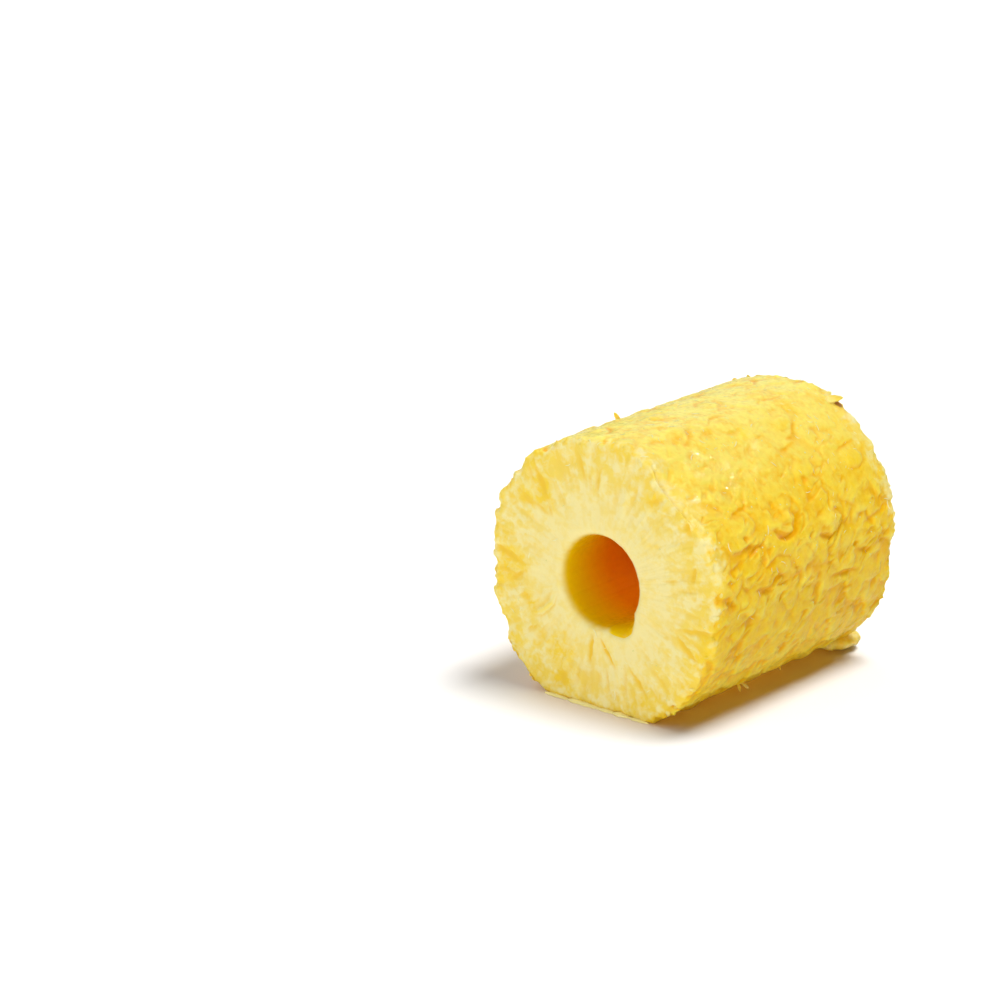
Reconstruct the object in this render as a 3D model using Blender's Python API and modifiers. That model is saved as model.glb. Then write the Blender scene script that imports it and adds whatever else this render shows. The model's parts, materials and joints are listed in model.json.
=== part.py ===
"""A peeled and cored pineapple block, lying on its side as one solid of flesh.

It is a short barrel, trimmed by a knife into soft flats, with square cut ends and a
round hole along its middle. The rows of eyes leave shallow dishes with a domed heart
and a groove round it, the ends show low fruitlets, and scraps hang from the rims.
"""

import math
import random

import bmesh
import bpy
import numpy as np
from mathutils import Matrix, Vector, noise

# Driving sizes, in metres. The hole runs along Y, and its broken mouth looks to -Y.
BLOCK_LENGTH = 0.1014
AXIS_HEIGHT = 0.0438
BORE_RADIUS = 0.0154
RIM_ROUND = 0.0014
BORE_ROUND = 0.0010
TURNED_RADIUS = 0.0480

# The knife's cuts: the way each one faces, in degrees from +X towards +Z, and how far
# it lies from the hole's axis at the front end and at the back end.
KNIFE_CUTS = (
    (-158, 0.0479, 0.0490),
    (180, 0.0460, 0.0482),
    (143, 0.0481, 0.0493),
    (118, 0.0492, 0.0501),
    (92, 0.0486, 0.0512),
    (48, 0.0470, 0.0530),
    (22, 0.0506, 0.0516),
    (-5, 0.0480, 0.0488),
    (-33, 0.0485, 0.0524),
    (-62, 0.0488, 0.0496),
    (-108, 0.0490, 0.0495),
)
CORNER_REACH = 0.0520
CUT_SHARPNESS = 22

# Eyes stand in rings round the block, each ring half a place on from the last one.
EYES_IN_RING = 8
EYE_RING_PITCH = 0.0109
EYE_RING_TURN = math.radians(-3.4)
FIRST_EYE_ANGLE = math.radians(11.2)
FIRST_EYE_Y = -0.0395
EYE_DISH_RADIUS = 0.0066
EYE_DISH_DEPTH = 0.0008
EYE_HEART_RADIUS = 0.0044
EYE_HEART_HEIGHT = 0.0010
EYE_GROOVE_WIDTH = 0.0010
EYE_GROOVE_DEPTH = 0.0015
EYE_WANDER = 0.0014
EYE_SIZES = (0.75, 1.15)
EYE_TURNS = (-1.2, 1.2)
# Waves round an eye's outline: how many there are and how strong they are.
EYE_OUTLINE_WAVES = ((2, 1.0), (3, 0.6), (7, 0.4))
EYE_OUTLINE_START = 0.7
EYE_RAGGEDNESS = 0.24
# The groove is at full depth below a heart and fades out over it.
EYE_GROOVE_LEVEL = 0.4
EYE_GROOVE_FADE = 1.2

# The knife went deeper over the top and the bottom, so the eyes are bold at the sides.
EYE_FAINT = 0.4
EYE_BOLD_SIDE = math.radians(-8)

# Bites out of the front rim: place in degrees, depth, half width, reach along the side.
RIM_BITES = (
    (-150, 0.0024, 0.0030, 0.0055),
    (48, 0.0024, 0.0105, 0.0110),
    (58, 0.0012, 0.0034, 0.0050),
    (170, 0.0010, 0.0036, 0.0060),
    (118, 0.0010, 0.0032, 0.0050),
    (16, 0.0008, 0.0026, 0.0040),
    (-24, 0.0009, 0.0030, 0.0050),
)

# The wedge broken out of the hole's mouth.
NOTCH_ANGLE = math.radians(-53)
NOTCH_HALF_ANGLE = math.radians(25)
NOTCH_DEPTH = 0.0034
NOTCH_REACH = 0.0100
NOTCH_STEEPNESS = 1.25

# Fruitlets on the cut ends, parted by furrows that widen outwards.
FRUITLETS = 15
FURROW_DEPTH = 0.0005
FURROW_HALF_WIDTH = 0.0011
PLAIN_RING = 0.0070
# Waves that bend the furrows: how many there are, how far in radians and where they start.
FURROW_WAVES = ((3, 0.16, 1.1), (7, 0.09, 0.0))
# Hollows in the front end: place in degrees, distance from the axis, depth and half size.
END_HOLLOWS = (
    (177, 0.0375, 0.0020, 0.0042),
    (124, 0.0400, 0.0010, 0.0036),
    (140, 0.0370, 0.0009, 0.0030),
    (15, 0.0400, 0.0009, 0.0020),
    (-16, 0.0430, 0.0014, 0.0040),
    (-24, 0.0420, 0.0010, 0.0026),
    (-111, 0.0390, 0.0010, 0.0034),
    (-154, 0.0300, 0.0009, 0.0044),
)
HOLLOW_ACROSS = 0.7
HOLLOW_OUTWARDS = 1.3

# Unevenness of the whole surface: how long each kind of lump is and how far it stands.
LUMPS = ((0.0170, 0.00060), (0.0062, 0.00035), (0.0028, 0.00022))
RIM_SCALLOPS = (0.0046, 0.00080)
RIM_SCALLOP_REACH = 0.0050
END_LUMP_SHARE = 0.5

# Shares of the wall's thickness, counted from the hole: where the side's relief sets in,
# how far the broken mouth reaches, and how much round the hole stays level.
SIDE_RELIEF_START = 0.9
MOUTH_SHARE = 0.3
LEVEL_SHARE = 0.1
LEAST_SLOPE = 0.1

# How finely the block is turned before its faces are thinned to what the relief needs.
TURNS = 264
SIDE_STEP = 0.0011
BORE_STEP = 0.0045
ARC_STEPS = 3
KEPT_TRIANGLES = 9600
FLAT_SNAP = 0.00005
MERGE_DISTANCE = 0.00001
SHARP_EDGE = math.radians(50)

# Scraps on the block: angle in degrees, place along Y, length, width and lean along Y.
NAMED_SCRAPS = (
    (113, -0.0165, 0.0034, 0.0026, -0.4),
    (-57, -0.0081, 0.0030, 0.0026, 0.5),
    (64, 0.0488, 0.0050, 0.0070, 0.5),
)
NAMED_SCRAP_BEND = 0.25
RIM_SCRAPS = 22
RIM_SCRAP_ARC = (-52, 238)
RIM_SCRAP_LENGTH = (0.0014, 0.0026)
RIM_SCRAP_WIDTH = (0.0024, 0.0046)
RIM_SCRAP_SPREAD = (0.1, 0.9)
RIM_SCRAP_INSET = (1.0, 2.0)
RIM_SCRAP_LEAN = (0.2, 1.0)
RIM_SCRAP_BEND = (-0.4, 0.4)
SCRAP_ROOT = 0.0016
SCRAP_SIDES = 6
SCRAP_RINGS = 4
SCRAP_THINNING = 0.45

# The tongue of flesh that lies on the surface behind the block's lower right edge.
TONGUE_CENTRE = (0.0250, 0.0515, 0.0021)
TONGUE_HALF = (0.0066, 0.0085, 0.0022)
TONGUE_LIFT = 0.0004
TONGUE_LOBES = 3
TONGUE_RIPPLE = 0.22
TONGUE_TURN = 0.6
TONGUE_SEGMENTS = 16
TONGUE_RINGS = 8

FLESH_COLOUR = (0.93, 0.68, 0.16, 1.0)
FLESH_ROUGHNESS = 0.35
FLESH_SCATTER = 0.4
FLESH_SCATTER_DEPTH = 0.004
SEED = 20


def clear_scene():
    for item in list(bpy.data.objects):
        bpy.data.objects.remove(item, do_unlink=True)


def make_collection(name):
    group = bpy.data.collections.new(name)
    bpy.context.scene.collection.children.link(group)
    return group


def flesh_material():
    material = bpy.data.materials.new("pineapple_flesh")
    material.use_nodes = True
    shader = material.node_tree.nodes["Principled BSDF"]
    shader.inputs["Base Color"].default_value = FLESH_COLOUR
    shader.inputs["Roughness"].default_value = FLESH_ROUGHNESS
    shader.inputs["Metallic"].default_value = 0.0
    shader.inputs["Subsurface Weight"].default_value = FLESH_SCATTER
    shader.inputs["Subsurface Scale"].default_value = FLESH_SCATTER_DEPTH
    material.diffuse_color = FLESH_COLOUR
    return material


def arc(centre, radius, start, end, steps):
    """Points of a quarter round from start to end degrees, both ends included."""
    points = []
    for i in range(steps + 1):
        angle = math.radians(start + (end - start) * i / steps)
        points.append((centre[0] + radius * math.cos(angle), centre[1] + radius * math.sin(angle)))
    return points


def straight(start, end, step):
    """Points between two ends at about the step, with neither end included."""
    count = max(1, round(math.dist(start, end) / step))
    return [
        (start[0] + (end[0] - start[0]) * i / count, start[1] + (end[1] - start[1]) * i / count)
        for i in range(1, count)
    ]


def wall_profile():
    """The closed outline of the wall beside the axis, as (distance from the axis, Y)."""
    half = BLOCK_LENGTH / 2
    outer = TURNED_RADIUS
    corners = [
        arc((outer - RIM_ROUND, half - RIM_ROUND), RIM_ROUND, 90, 0, ARC_STEPS),
        arc((outer - RIM_ROUND, RIM_ROUND - half), RIM_ROUND, 0, -90, ARC_STEPS),
        arc((BORE_RADIUS + BORE_ROUND, BORE_ROUND - half), BORE_ROUND, 270, 180, ARC_STEPS),
        arc((BORE_RADIUS + BORE_ROUND, half - BORE_ROUND), BORE_ROUND, 180, 90, ARC_STEPS),
    ]
    steps = (SIDE_STEP, SIDE_STEP, BORE_STEP, SIDE_STEP)
    points = []
    for i, corner in enumerate(corners):
        following = corners[(i + 1) % len(corners)]
        points += corner
        points += straight(corner[-1], following[0], steps[i])
    return points


def turned_wall(group):
    """The plain ring that the wall's outline makes when it is turned about Y."""
    mesh = bpy.data.meshes.new("wall_profile")
    points = wall_profile()
    edges = [(i, (i + 1) % len(points)) for i in range(len(points))]
    mesh.from_pydata([(r, y, 0.0) for r, y in points], edges, [])
    profile = bpy.data.objects.new("wall_profile", mesh)
    group.objects.link(profile)
    screw = profile.modifiers.new("turn", "SCREW")
    screw.axis = "Y"
    screw.angle = 2 * math.pi
    screw.steps = TURNS
    screw.render_steps = TURNS
    screw.use_merge_vertices = True
    screw.merge_threshold = MERGE_DISTANCE
    return applied(profile, "flesh", group)


def applied(source, name, group):
    """A plain mesh object of what the source's modifiers make. The source is removed."""
    bpy.context.view_layer.update()
    graph = bpy.context.evaluated_depsgraph_get()
    mesh = bpy.data.meshes.new_from_object(source.evaluated_get(graph))
    mesh.name = name
    matrix = source.matrix_world.copy()
    bpy.data.objects.remove(source, do_unlink=True)
    made = bpy.data.objects.new(name, mesh)
    made.matrix_world = matrix
    group.objects.link(made)
    return made


def knife_radius(angle, along):
    """How far the trimmed side lies from the axis. along is 0 at the front, 1 at the back."""
    total = (1 / CORNER_REACH) ** CUT_SHARPNESS
    for facing, front, back in KNIFE_CUTS:
        cosine = np.maximum(np.cos(angle - math.radians(facing)), 0.0)
        total = total + (cosine / (front + (back - front) * along)) ** CUT_SHARPNESS
    return total ** (-1 / CUT_SHARPNESS)


def eye_places():
    """Angle, place along Y, size and turn of each eye, over the ends and past them."""
    draw = random.Random(SEED)
    rings = 2 + round(BLOCK_LENGTH / EYE_RING_PITCH)
    for ring in range(-1, rings):
        half_place = math.pi / EYES_IN_RING * (ring % 2)
        for place in range(EYES_IN_RING):
            angle = FIRST_EYE_ANGLE + half_place + EYE_RING_TURN * ring
            angle += 2 * math.pi * place / EYES_IN_RING
            angle += draw.uniform(-EYE_WANDER, EYE_WANDER) / TURNED_RADIUS
            y = FIRST_EYE_Y + EYE_RING_PITCH * ring + draw.uniform(-EYE_WANDER, EYE_WANDER)
            yield angle, y, draw.uniform(*EYE_SIZES), draw.uniform(*EYE_TURNS)


def turned_by(angle):
    """An angle brought within half a turn of zero."""
    return (angle + math.pi) % (2 * math.pi) - math.pi


def eye_relief(angle, y):
    """Height of the eyes' dishes, hearts and grooves over the side."""
    height = np.zeros_like(angle)
    for eye_angle, eye_y, size, turn in eye_places():
        up = turned_by(angle - eye_angle) * TURNED_RADIUS
        along = y - eye_y
        facing = np.arctan2(up, along) - turn
        starts = (EYE_OUTLINE_START, -turn, 0.0)
        ragged = sum(
            strength * np.sin(waves * facing + start)
            for (waves, strength), start in zip(EYE_OUTLINE_WAVES, starts)
        )
        reach = np.hypot(up, along) / (size * (1 + EYE_RAGGEDNESS * ragged / 2))
        bold = 0.5 + 0.5 * math.cos(2 * (eye_angle - EYE_BOLD_SIDE))
        bold = EYE_FAINT + (1 - EYE_FAINT) * bold
        dish = EYE_DISH_DEPTH * np.exp(-((reach / EYE_DISH_RADIUS) ** 4))
        heart = EYE_HEART_HEIGHT * np.sqrt(np.clip(1 - (reach / EYE_HEART_RADIUS) ** 2, 0, 1))
        groove = np.exp(-(((reach - EYE_HEART_RADIUS) / EYE_GROOVE_WIDTH) ** 2))
        below = np.clip(EYE_GROOVE_LEVEL - EYE_GROOVE_FADE * np.sin(facing), 0, 1)
        height += bold * (heart - dish - EYE_GROOVE_DEPTH * groove * below)
    return height


def rim_bite_relief(angle, y):
    """Depth of the bites that old eyes leave in the front rim."""
    depth = np.zeros_like(angle)
    from_front = y + BLOCK_LENGTH / 2
    for facing, deep, half_width, reach in RIM_BITES:
        across = turned_by(angle - math.radians(facing)) * TURNED_RADIUS / half_width
        depth += deep * np.exp(-(across**4)) * np.exp(-((from_front / reach) ** 2))
    return depth


def lump_relief(points, kinds):
    """Height of seeded unevenness: each kind has a length and a height."""
    height = np.zeros(len(points))
    for length, most in kinds:
        height += most * np.array([noise.noise(Vector(p) / length) for p in points])
    return height


def notch_relief(angle, y):
    """How far the broken wedge at the hole's mouth cuts outwards."""
    across = np.abs(turned_by(angle - NOTCH_ANGLE)) / NOTCH_HALF_ANGLE
    inwards = np.clip(1 - (y + BLOCK_LENGTH / 2) / NOTCH_REACH, 0, 1)
    return NOTCH_DEPTH * np.clip(NOTCH_STEEPNESS * (1 - across), 0, 1) * inwards


def end_relief(angle, distance, at_front):
    """Depth of the furrows and hollows in a cut end."""
    wobble = sum(far * np.sin(waves * angle + start) for waves, far, start in FURROW_WAVES)
    across = np.abs(turned_by((angle + wobble) * FRUITLETS)) / FRUITLETS * distance
    outwards = np.clip((distance - BORE_RADIUS - PLAIN_RING) / PLAIN_RING, 0, 1)
    depth = FURROW_DEPTH * outwards * np.exp(-((across / FURROW_HALF_WIDTH) ** 2))
    for facing, away, deep, half in END_HOLLOWS:
        side = turned_by(angle - math.radians(facing)) * distance / (HOLLOW_ACROSS * half)
        out = (distance - away) / (HOLLOW_OUTWARDS * half)
        depth += deep * at_front * np.exp(-(side**2 + out**2) ** 2)
    return depth


def carve(block):
    """Moves each point of the plain ring to the trimmed, eyed and furrowed surface."""
    mesh = block.data
    points = np.empty(len(mesh.vertices) * 3)
    mesh.vertices.foreach_get("co", points)
    points = points.reshape(-1, 3)
    half = BLOCK_LENGTH / 2
    angle = np.arctan2(points[:, 2], points[:, 0])
    distance = np.hypot(points[:, 0], points[:, 2])
    y = points[:, 1]
    share = (distance - BORE_RADIUS) / (TURNED_RADIUS - BORE_RADIUS)
    side = np.clip((share - SIDE_RELIEF_START) / (1 - SIDE_RELIEF_START), 0, 1) ** 2
    mouth = np.clip(1 - share / MOUTH_SHARE, 0, 1)
    end = np.clip((np.abs(y) - half + RIM_ROUND) / RIM_ROUND, 0, 1)
    lumps = lump_relief(points, LUMPS)
    scallops = lump_relief(points, (RIM_SCALLOPS,))
    scallops *= np.clip(1 - (half - np.abs(y)) / RIM_SCALLOP_REACH, 0, 1)

    to_floor = AXIS_HEIGHT / np.clip(-np.sin(angle), LEAST_SLOPE, 1)
    trimmed = knife_radius(angle, (y + half) / BLOCK_LENGTH)
    relief = eye_relief(angle, y) + lumps + scallops - rim_bite_relief(angle, y)
    reach = np.minimum(trimmed + side * relief, to_floor)
    hole = BORE_RADIUS + notch_relief(angle, y) * mouth
    moved = hole + share * (reach - BORE_RADIUS)
    sunk = end_relief(angle, distance, (y < 0).astype(float)) - END_LUMP_SHARE * lumps
    shifted = y - np.sign(y) * end * sunk * np.clip(share / LEVEL_SHARE, 0, 1)

    points = np.stack([moved * np.cos(angle), shifted, moved * np.sin(angle) + AXIS_HEIGHT], 1)
    mesh.vertices.foreach_set("co", points.astype(np.float32).ravel())
    mesh.update()


def face_outwards(mesh):
    work = bmesh.new()
    work.from_mesh(mesh)
    bmesh.ops.remove_doubles(work, verts=work.verts, dist=MERGE_DISTANCE)
    bmesh.ops.recalc_face_normals(work, faces=work.faces)
    work.to_mesh(mesh)
    work.free()


def thin_out(block, group):
    """Joins faces until only as many triangles are left as the relief needs."""
    triangles = sum(len(face.vertices) - 2 for face in block.data.polygons)
    thin = block.modifiers.new("thin", "DECIMATE")
    thin.ratio = KEPT_TRIANGLES / triangles
    thin.use_collapse_triangulate = True
    return applied(block, "flesh", group)


def settle(block):
    """Makes the resting flat truly flat."""
    for vertex in block.data.vertices:
        if vertex.co.z < FLAT_SNAP:
            vertex.co.z = 0.0


def scrap(name, length, width, bend, group):
    """A flat torn flake that stands along +Z from the origin and tapers to a curled tip."""
    work = bmesh.new()
    rings = []
    for i in range(SCRAP_RINGS):
        share = i / SCRAP_RINGS
        half = width / 2 * math.sqrt(1 - share**2)
        lean = bend * length * share**2
        ring = []
        for k in range(SCRAP_SIDES):
            turn = 2 * math.pi * k / SCRAP_SIDES
            x = half * math.cos(turn) + lean
            y = half * SCRAP_THINNING * math.sin(turn)
            ring.append(work.verts.new((x, y, length * share - SCRAP_ROOT * (i == 0))))
        rings.append(ring)
    tip = work.verts.new((bend * length, 0.0, length))
    work.faces.new(reversed(rings[0]))
    for low, high in zip(rings, rings[1:]):
        for k in range(SCRAP_SIDES):
            n = (k + 1) % SCRAP_SIDES
            work.faces.new((low[k], low[n], high[n], high[k]))
    for k in range(SCRAP_SIDES):
        work.faces.new((rings[-1][k], rings[-1][(k + 1) % SCRAP_SIDES], tip))
    mesh = bpy.data.meshes.new(name)
    work.to_mesh(mesh)
    work.free()
    flake = bpy.data.objects.new(name, mesh)
    group.objects.link(flake)
    return flake


def place_scrap(flake, degrees, y, lean):
    """Stands a flake on the side, its flat along the rim, tipped along Y by its lean."""
    angle = np.array([math.radians(degrees)])
    reach = knife_radius(angle, 0.5 + y / BLOCK_LENGTH) - rim_bite_relief(angle, y)
    outwards = Vector((math.cos(angle[0]), lean, math.sin(angle[0]))).normalized()
    along_rim = Vector((-math.sin(angle[0]), 0.0, math.cos(angle[0])))
    turn = Matrix((along_rim, outwards.cross(along_rim), outwards)).transposed().to_4x4()
    root = Vector((reach[0] * math.cos(angle[0]), y, reach[0] * math.sin(angle[0]) + AXIS_HEIGHT))
    flake.data.transform(Matrix.Translation(root - outwards * SCRAP_ROOT) @ turn)


def scraps(group):
    """The torn flakes along both rims, those that stand out on the side, and the tongue."""
    draw = random.Random(SEED + 1)
    for i, (degrees, y, length, width, lean) in enumerate(NAMED_SCRAPS):
        flake = scrap(f"scrap_{i}", length, width, NAMED_SCRAP_BEND, group)
        place_scrap(flake, degrees, y, lean)
    for i in range(RIM_SCRAPS):
        end = 1 if i % 2 else -1
        place = (i + draw.uniform(*RIM_SCRAP_SPREAD)) / RIM_SCRAPS
        degrees = RIM_SCRAP_ARC[0] + place * (RIM_SCRAP_ARC[1] - RIM_SCRAP_ARC[0])
        length = draw.uniform(*RIM_SCRAP_LENGTH)
        width = draw.uniform(*RIM_SCRAP_WIDTH)
        y = end * (BLOCK_LENGTH / 2 - draw.uniform(*RIM_SCRAP_INSET) * RIM_ROUND)
        lean = end * draw.uniform(*RIM_SCRAP_LEAN)
        flake = scrap(f"rim_scrap_{i}", length, width, draw.uniform(*RIM_SCRAP_BEND), group)
        place_scrap(flake, degrees, y, lean)


def tongue(group):
    """The flattened scrap that the block has pressed out on to the surface."""
    mesh = bpy.data.meshes.new("tongue")
    work = bmesh.new()
    bmesh.ops.create_uvsphere(work, u_segments=TONGUE_SEGMENTS, v_segments=TONGUE_RINGS, radius=1.0)
    for vertex in work.verts:
        facing = math.atan2(vertex.co.y, vertex.co.x)
        ripple = 1 + TONGUE_RIPPLE * math.sin(TONGUE_LOBES * facing + TONGUE_TURN)
        vertex.co.x *= TONGUE_HALF[0] * ripple
        vertex.co.y *= TONGUE_HALF[1] * ripple
        vertex.co.z *= TONGUE_HALF[2]
        vertex.co += Vector(TONGUE_CENTRE)
        vertex.co.z = max(vertex.co.z, TONGUE_LIFT)
    work.to_mesh(mesh)
    work.free()
    flap = bpy.data.objects.new("tongue", mesh)
    group.objects.link(flap)


def fuse(block, loose, group):
    """Joins the loose scraps to the block in one union and removes them."""
    union = block.modifiers.new("scraps", "BOOLEAN")
    union.operation = "UNION"
    union.operand_type = "COLLECTION"
    union.collection = loose
    union.solver = "EXACT"
    fused = applied(block, "flesh", group)
    for item in list(loose.objects):
        bpy.data.objects.remove(item, do_unlink=True)
    return fused


def centre_on_origin(block):
    """Brings the middle of the resting box to the origin, seen from above."""
    corners = np.array([vertex.co for vertex in block.data.vertices])
    middle = (corners.min(0) + corners.max(0)) / 2
    block.data.transform(Matrix.Translation((-middle[0], -middle[1], -corners[:, 2].min())))


def main():
    clear_scene()
    parts = make_collection("cored_pineapple")
    cutters = make_collection("cutters")
    cutters.hide_render = True
    block = turned_wall(parts)
    face_outwards(block.data)
    carve(block)
    block = thin_out(block, parts)
    settle(block)
    scraps(cutters)
    tongue(cutters)
    block = fuse(block, cutters, parts)
    centre_on_origin(block)
    block.data.materials.clear()
    block.data.materials.append(flesh_material())
    block.data.shade_smooth()
    block.data.set_sharp_from_angle(angle=SHARP_EDGE)


main()
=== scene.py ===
"""Looks of a peeled and cored pineapple block: wet flesh, torn fibres and juice."""

import json
import logging
import math
import random
from dataclasses import dataclass
from enum import Enum
from typing import Iterator

import bpy
import numpy as np
from mathutils import Matrix, Vector
from mathutils.bvhtree import BVHTree

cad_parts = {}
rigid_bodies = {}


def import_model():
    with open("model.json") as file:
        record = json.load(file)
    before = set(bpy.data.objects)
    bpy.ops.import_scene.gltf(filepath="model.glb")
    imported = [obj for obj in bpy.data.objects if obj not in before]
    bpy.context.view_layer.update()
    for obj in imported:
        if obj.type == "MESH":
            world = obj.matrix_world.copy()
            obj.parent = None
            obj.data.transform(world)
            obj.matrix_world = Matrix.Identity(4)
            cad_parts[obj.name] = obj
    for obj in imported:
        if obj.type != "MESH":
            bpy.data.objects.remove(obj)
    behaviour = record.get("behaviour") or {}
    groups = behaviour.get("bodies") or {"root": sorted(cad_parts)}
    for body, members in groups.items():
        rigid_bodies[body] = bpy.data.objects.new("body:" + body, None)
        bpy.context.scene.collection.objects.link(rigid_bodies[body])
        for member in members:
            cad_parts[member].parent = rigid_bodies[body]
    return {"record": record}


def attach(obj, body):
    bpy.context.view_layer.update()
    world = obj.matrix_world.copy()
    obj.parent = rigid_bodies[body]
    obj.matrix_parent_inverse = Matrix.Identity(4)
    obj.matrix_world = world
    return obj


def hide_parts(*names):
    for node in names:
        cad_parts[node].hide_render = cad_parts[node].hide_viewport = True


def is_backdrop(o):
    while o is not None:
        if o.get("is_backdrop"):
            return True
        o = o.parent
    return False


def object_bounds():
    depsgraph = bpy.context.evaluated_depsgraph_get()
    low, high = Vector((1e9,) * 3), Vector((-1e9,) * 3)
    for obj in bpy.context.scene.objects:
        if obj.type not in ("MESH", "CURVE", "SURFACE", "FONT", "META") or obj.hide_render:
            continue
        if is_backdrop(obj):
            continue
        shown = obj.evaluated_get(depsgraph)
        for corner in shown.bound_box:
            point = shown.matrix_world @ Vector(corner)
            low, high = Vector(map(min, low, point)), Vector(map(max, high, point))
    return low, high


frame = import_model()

logging.basicConfig(level=logging.INFO, format="%(message)s")
LOG = logging.getLogger("cored_pineapple")

BODY = "root"
FLESH_FINISH = "wet_flesh"
SCRAP_FINISH = "torn_flesh"
SEED = 20
FULL_TURN = 2 * math.pi

# How far the seed moves the noise, in metres for each step of the seed.
DRIFT = 0.37

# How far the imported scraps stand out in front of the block's plain front end.
FRONT_STANDS = 0.0003


def srgb(red: int, green: int, blue: int) -> tuple[float, float, float, float]:
    """The linear colour of an eye's 0 to 255 colour.

    Args:
        red: Red from 0 to 255.
        green: Green from 0 to 255.
        blue: Blue from 0 to 255.

    Returns:
        Linear red, green and blue with an alpha of 1.
    """
    shares = [value / 255 for value in (red, green, blue)]
    linear = [s / 12.92 if s <= 0.04045 else ((s + 0.055) / 1.055) ** 2.4 for s in shares]
    return linear[0], linear[1], linear[2], 1.0


class Field:
    """A value of a node tree that grows new nodes under ordinary arithmetic."""

    def __init__(self, socket: bpy.types.NodeSocket) -> None:
        """Holds the output socket that gives the value."""
        self.socket = socket

    def math(self, operation: str, *others: "Field | float") -> "Field":
        """Adds one math node that starts from this value.

        Args:
            operation: Blender's name of the operation.
            *others: The node's further inputs.

        Returns:
            The result.
        """
        node = self.socket.id_data.nodes.new("ShaderNodeMath")
        node.operation = operation
        for slot, value in zip(node.inputs, (self, *others)):
            feed(slot, value)
        return Field(node.outputs[0])

    def __add__(self, other: "Field | float") -> "Field":
        """Sum."""
        return self.math("ADD", other)

    def __sub__(self, other: "Field | float") -> "Field":
        """Difference."""
        return self.math("SUBTRACT", other)

    def __rsub__(self, other: float) -> "Field":
        """Difference from a plain number."""
        return self.math("MULTIPLY_ADD", -1.0, other)

    def __mul__(self, other: "Field | float") -> "Field":
        """Product."""
        return self.math("MULTIPLY", other)

    def __truediv__(self, other: "Field | float") -> "Field":
        """Quotient."""
        return self.math("DIVIDE", other)

    def __pow__(self, power: "Field | float") -> "Field":
        """Power."""
        return self.math("POWER", power)

    __radd__ = __add__
    __rmul__ = __mul__

    def clipped(self) -> "Field":
        """The value kept within 0 and 1."""
        return self.math("MAXIMUM", 0.0).math("MINIMUM", 1.0)

    def hump(self, width: "Field | float") -> "Field":
        """A bell that is 1 where the value is 0 and falls off over the width."""
        share = self / width
        return (share * share * -1.0).math("EXPONENT")

    def ramp(self, low: float, high: float) -> "Field":
        """A smooth step from 0 at low to 1 at high. High may be the lower number."""
        share = ((self - low) / (high - low)).clipped()
        return share * share * (3.0 - 2.0 * share)

    def cos(self) -> "Field":
        """The cosine of an angle."""
        return self.math("COSINE")

    def sin(self) -> "Field":
        """The sine of an angle."""
        return self.math("SINE")

    def within_half_turn(self) -> "Field":
        """An angle brought within half a turn of zero."""
        return self.math("WRAP", math.pi, -math.pi)


def feed(slot: bpy.types.NodeSocket, value: object) -> None:
    """Links a field to an input, or writes a plain value on it."""
    if isinstance(value, Field):
        slot.id_data.links.new(value.socket, slot)
    else:
        slot.default_value = value


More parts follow.
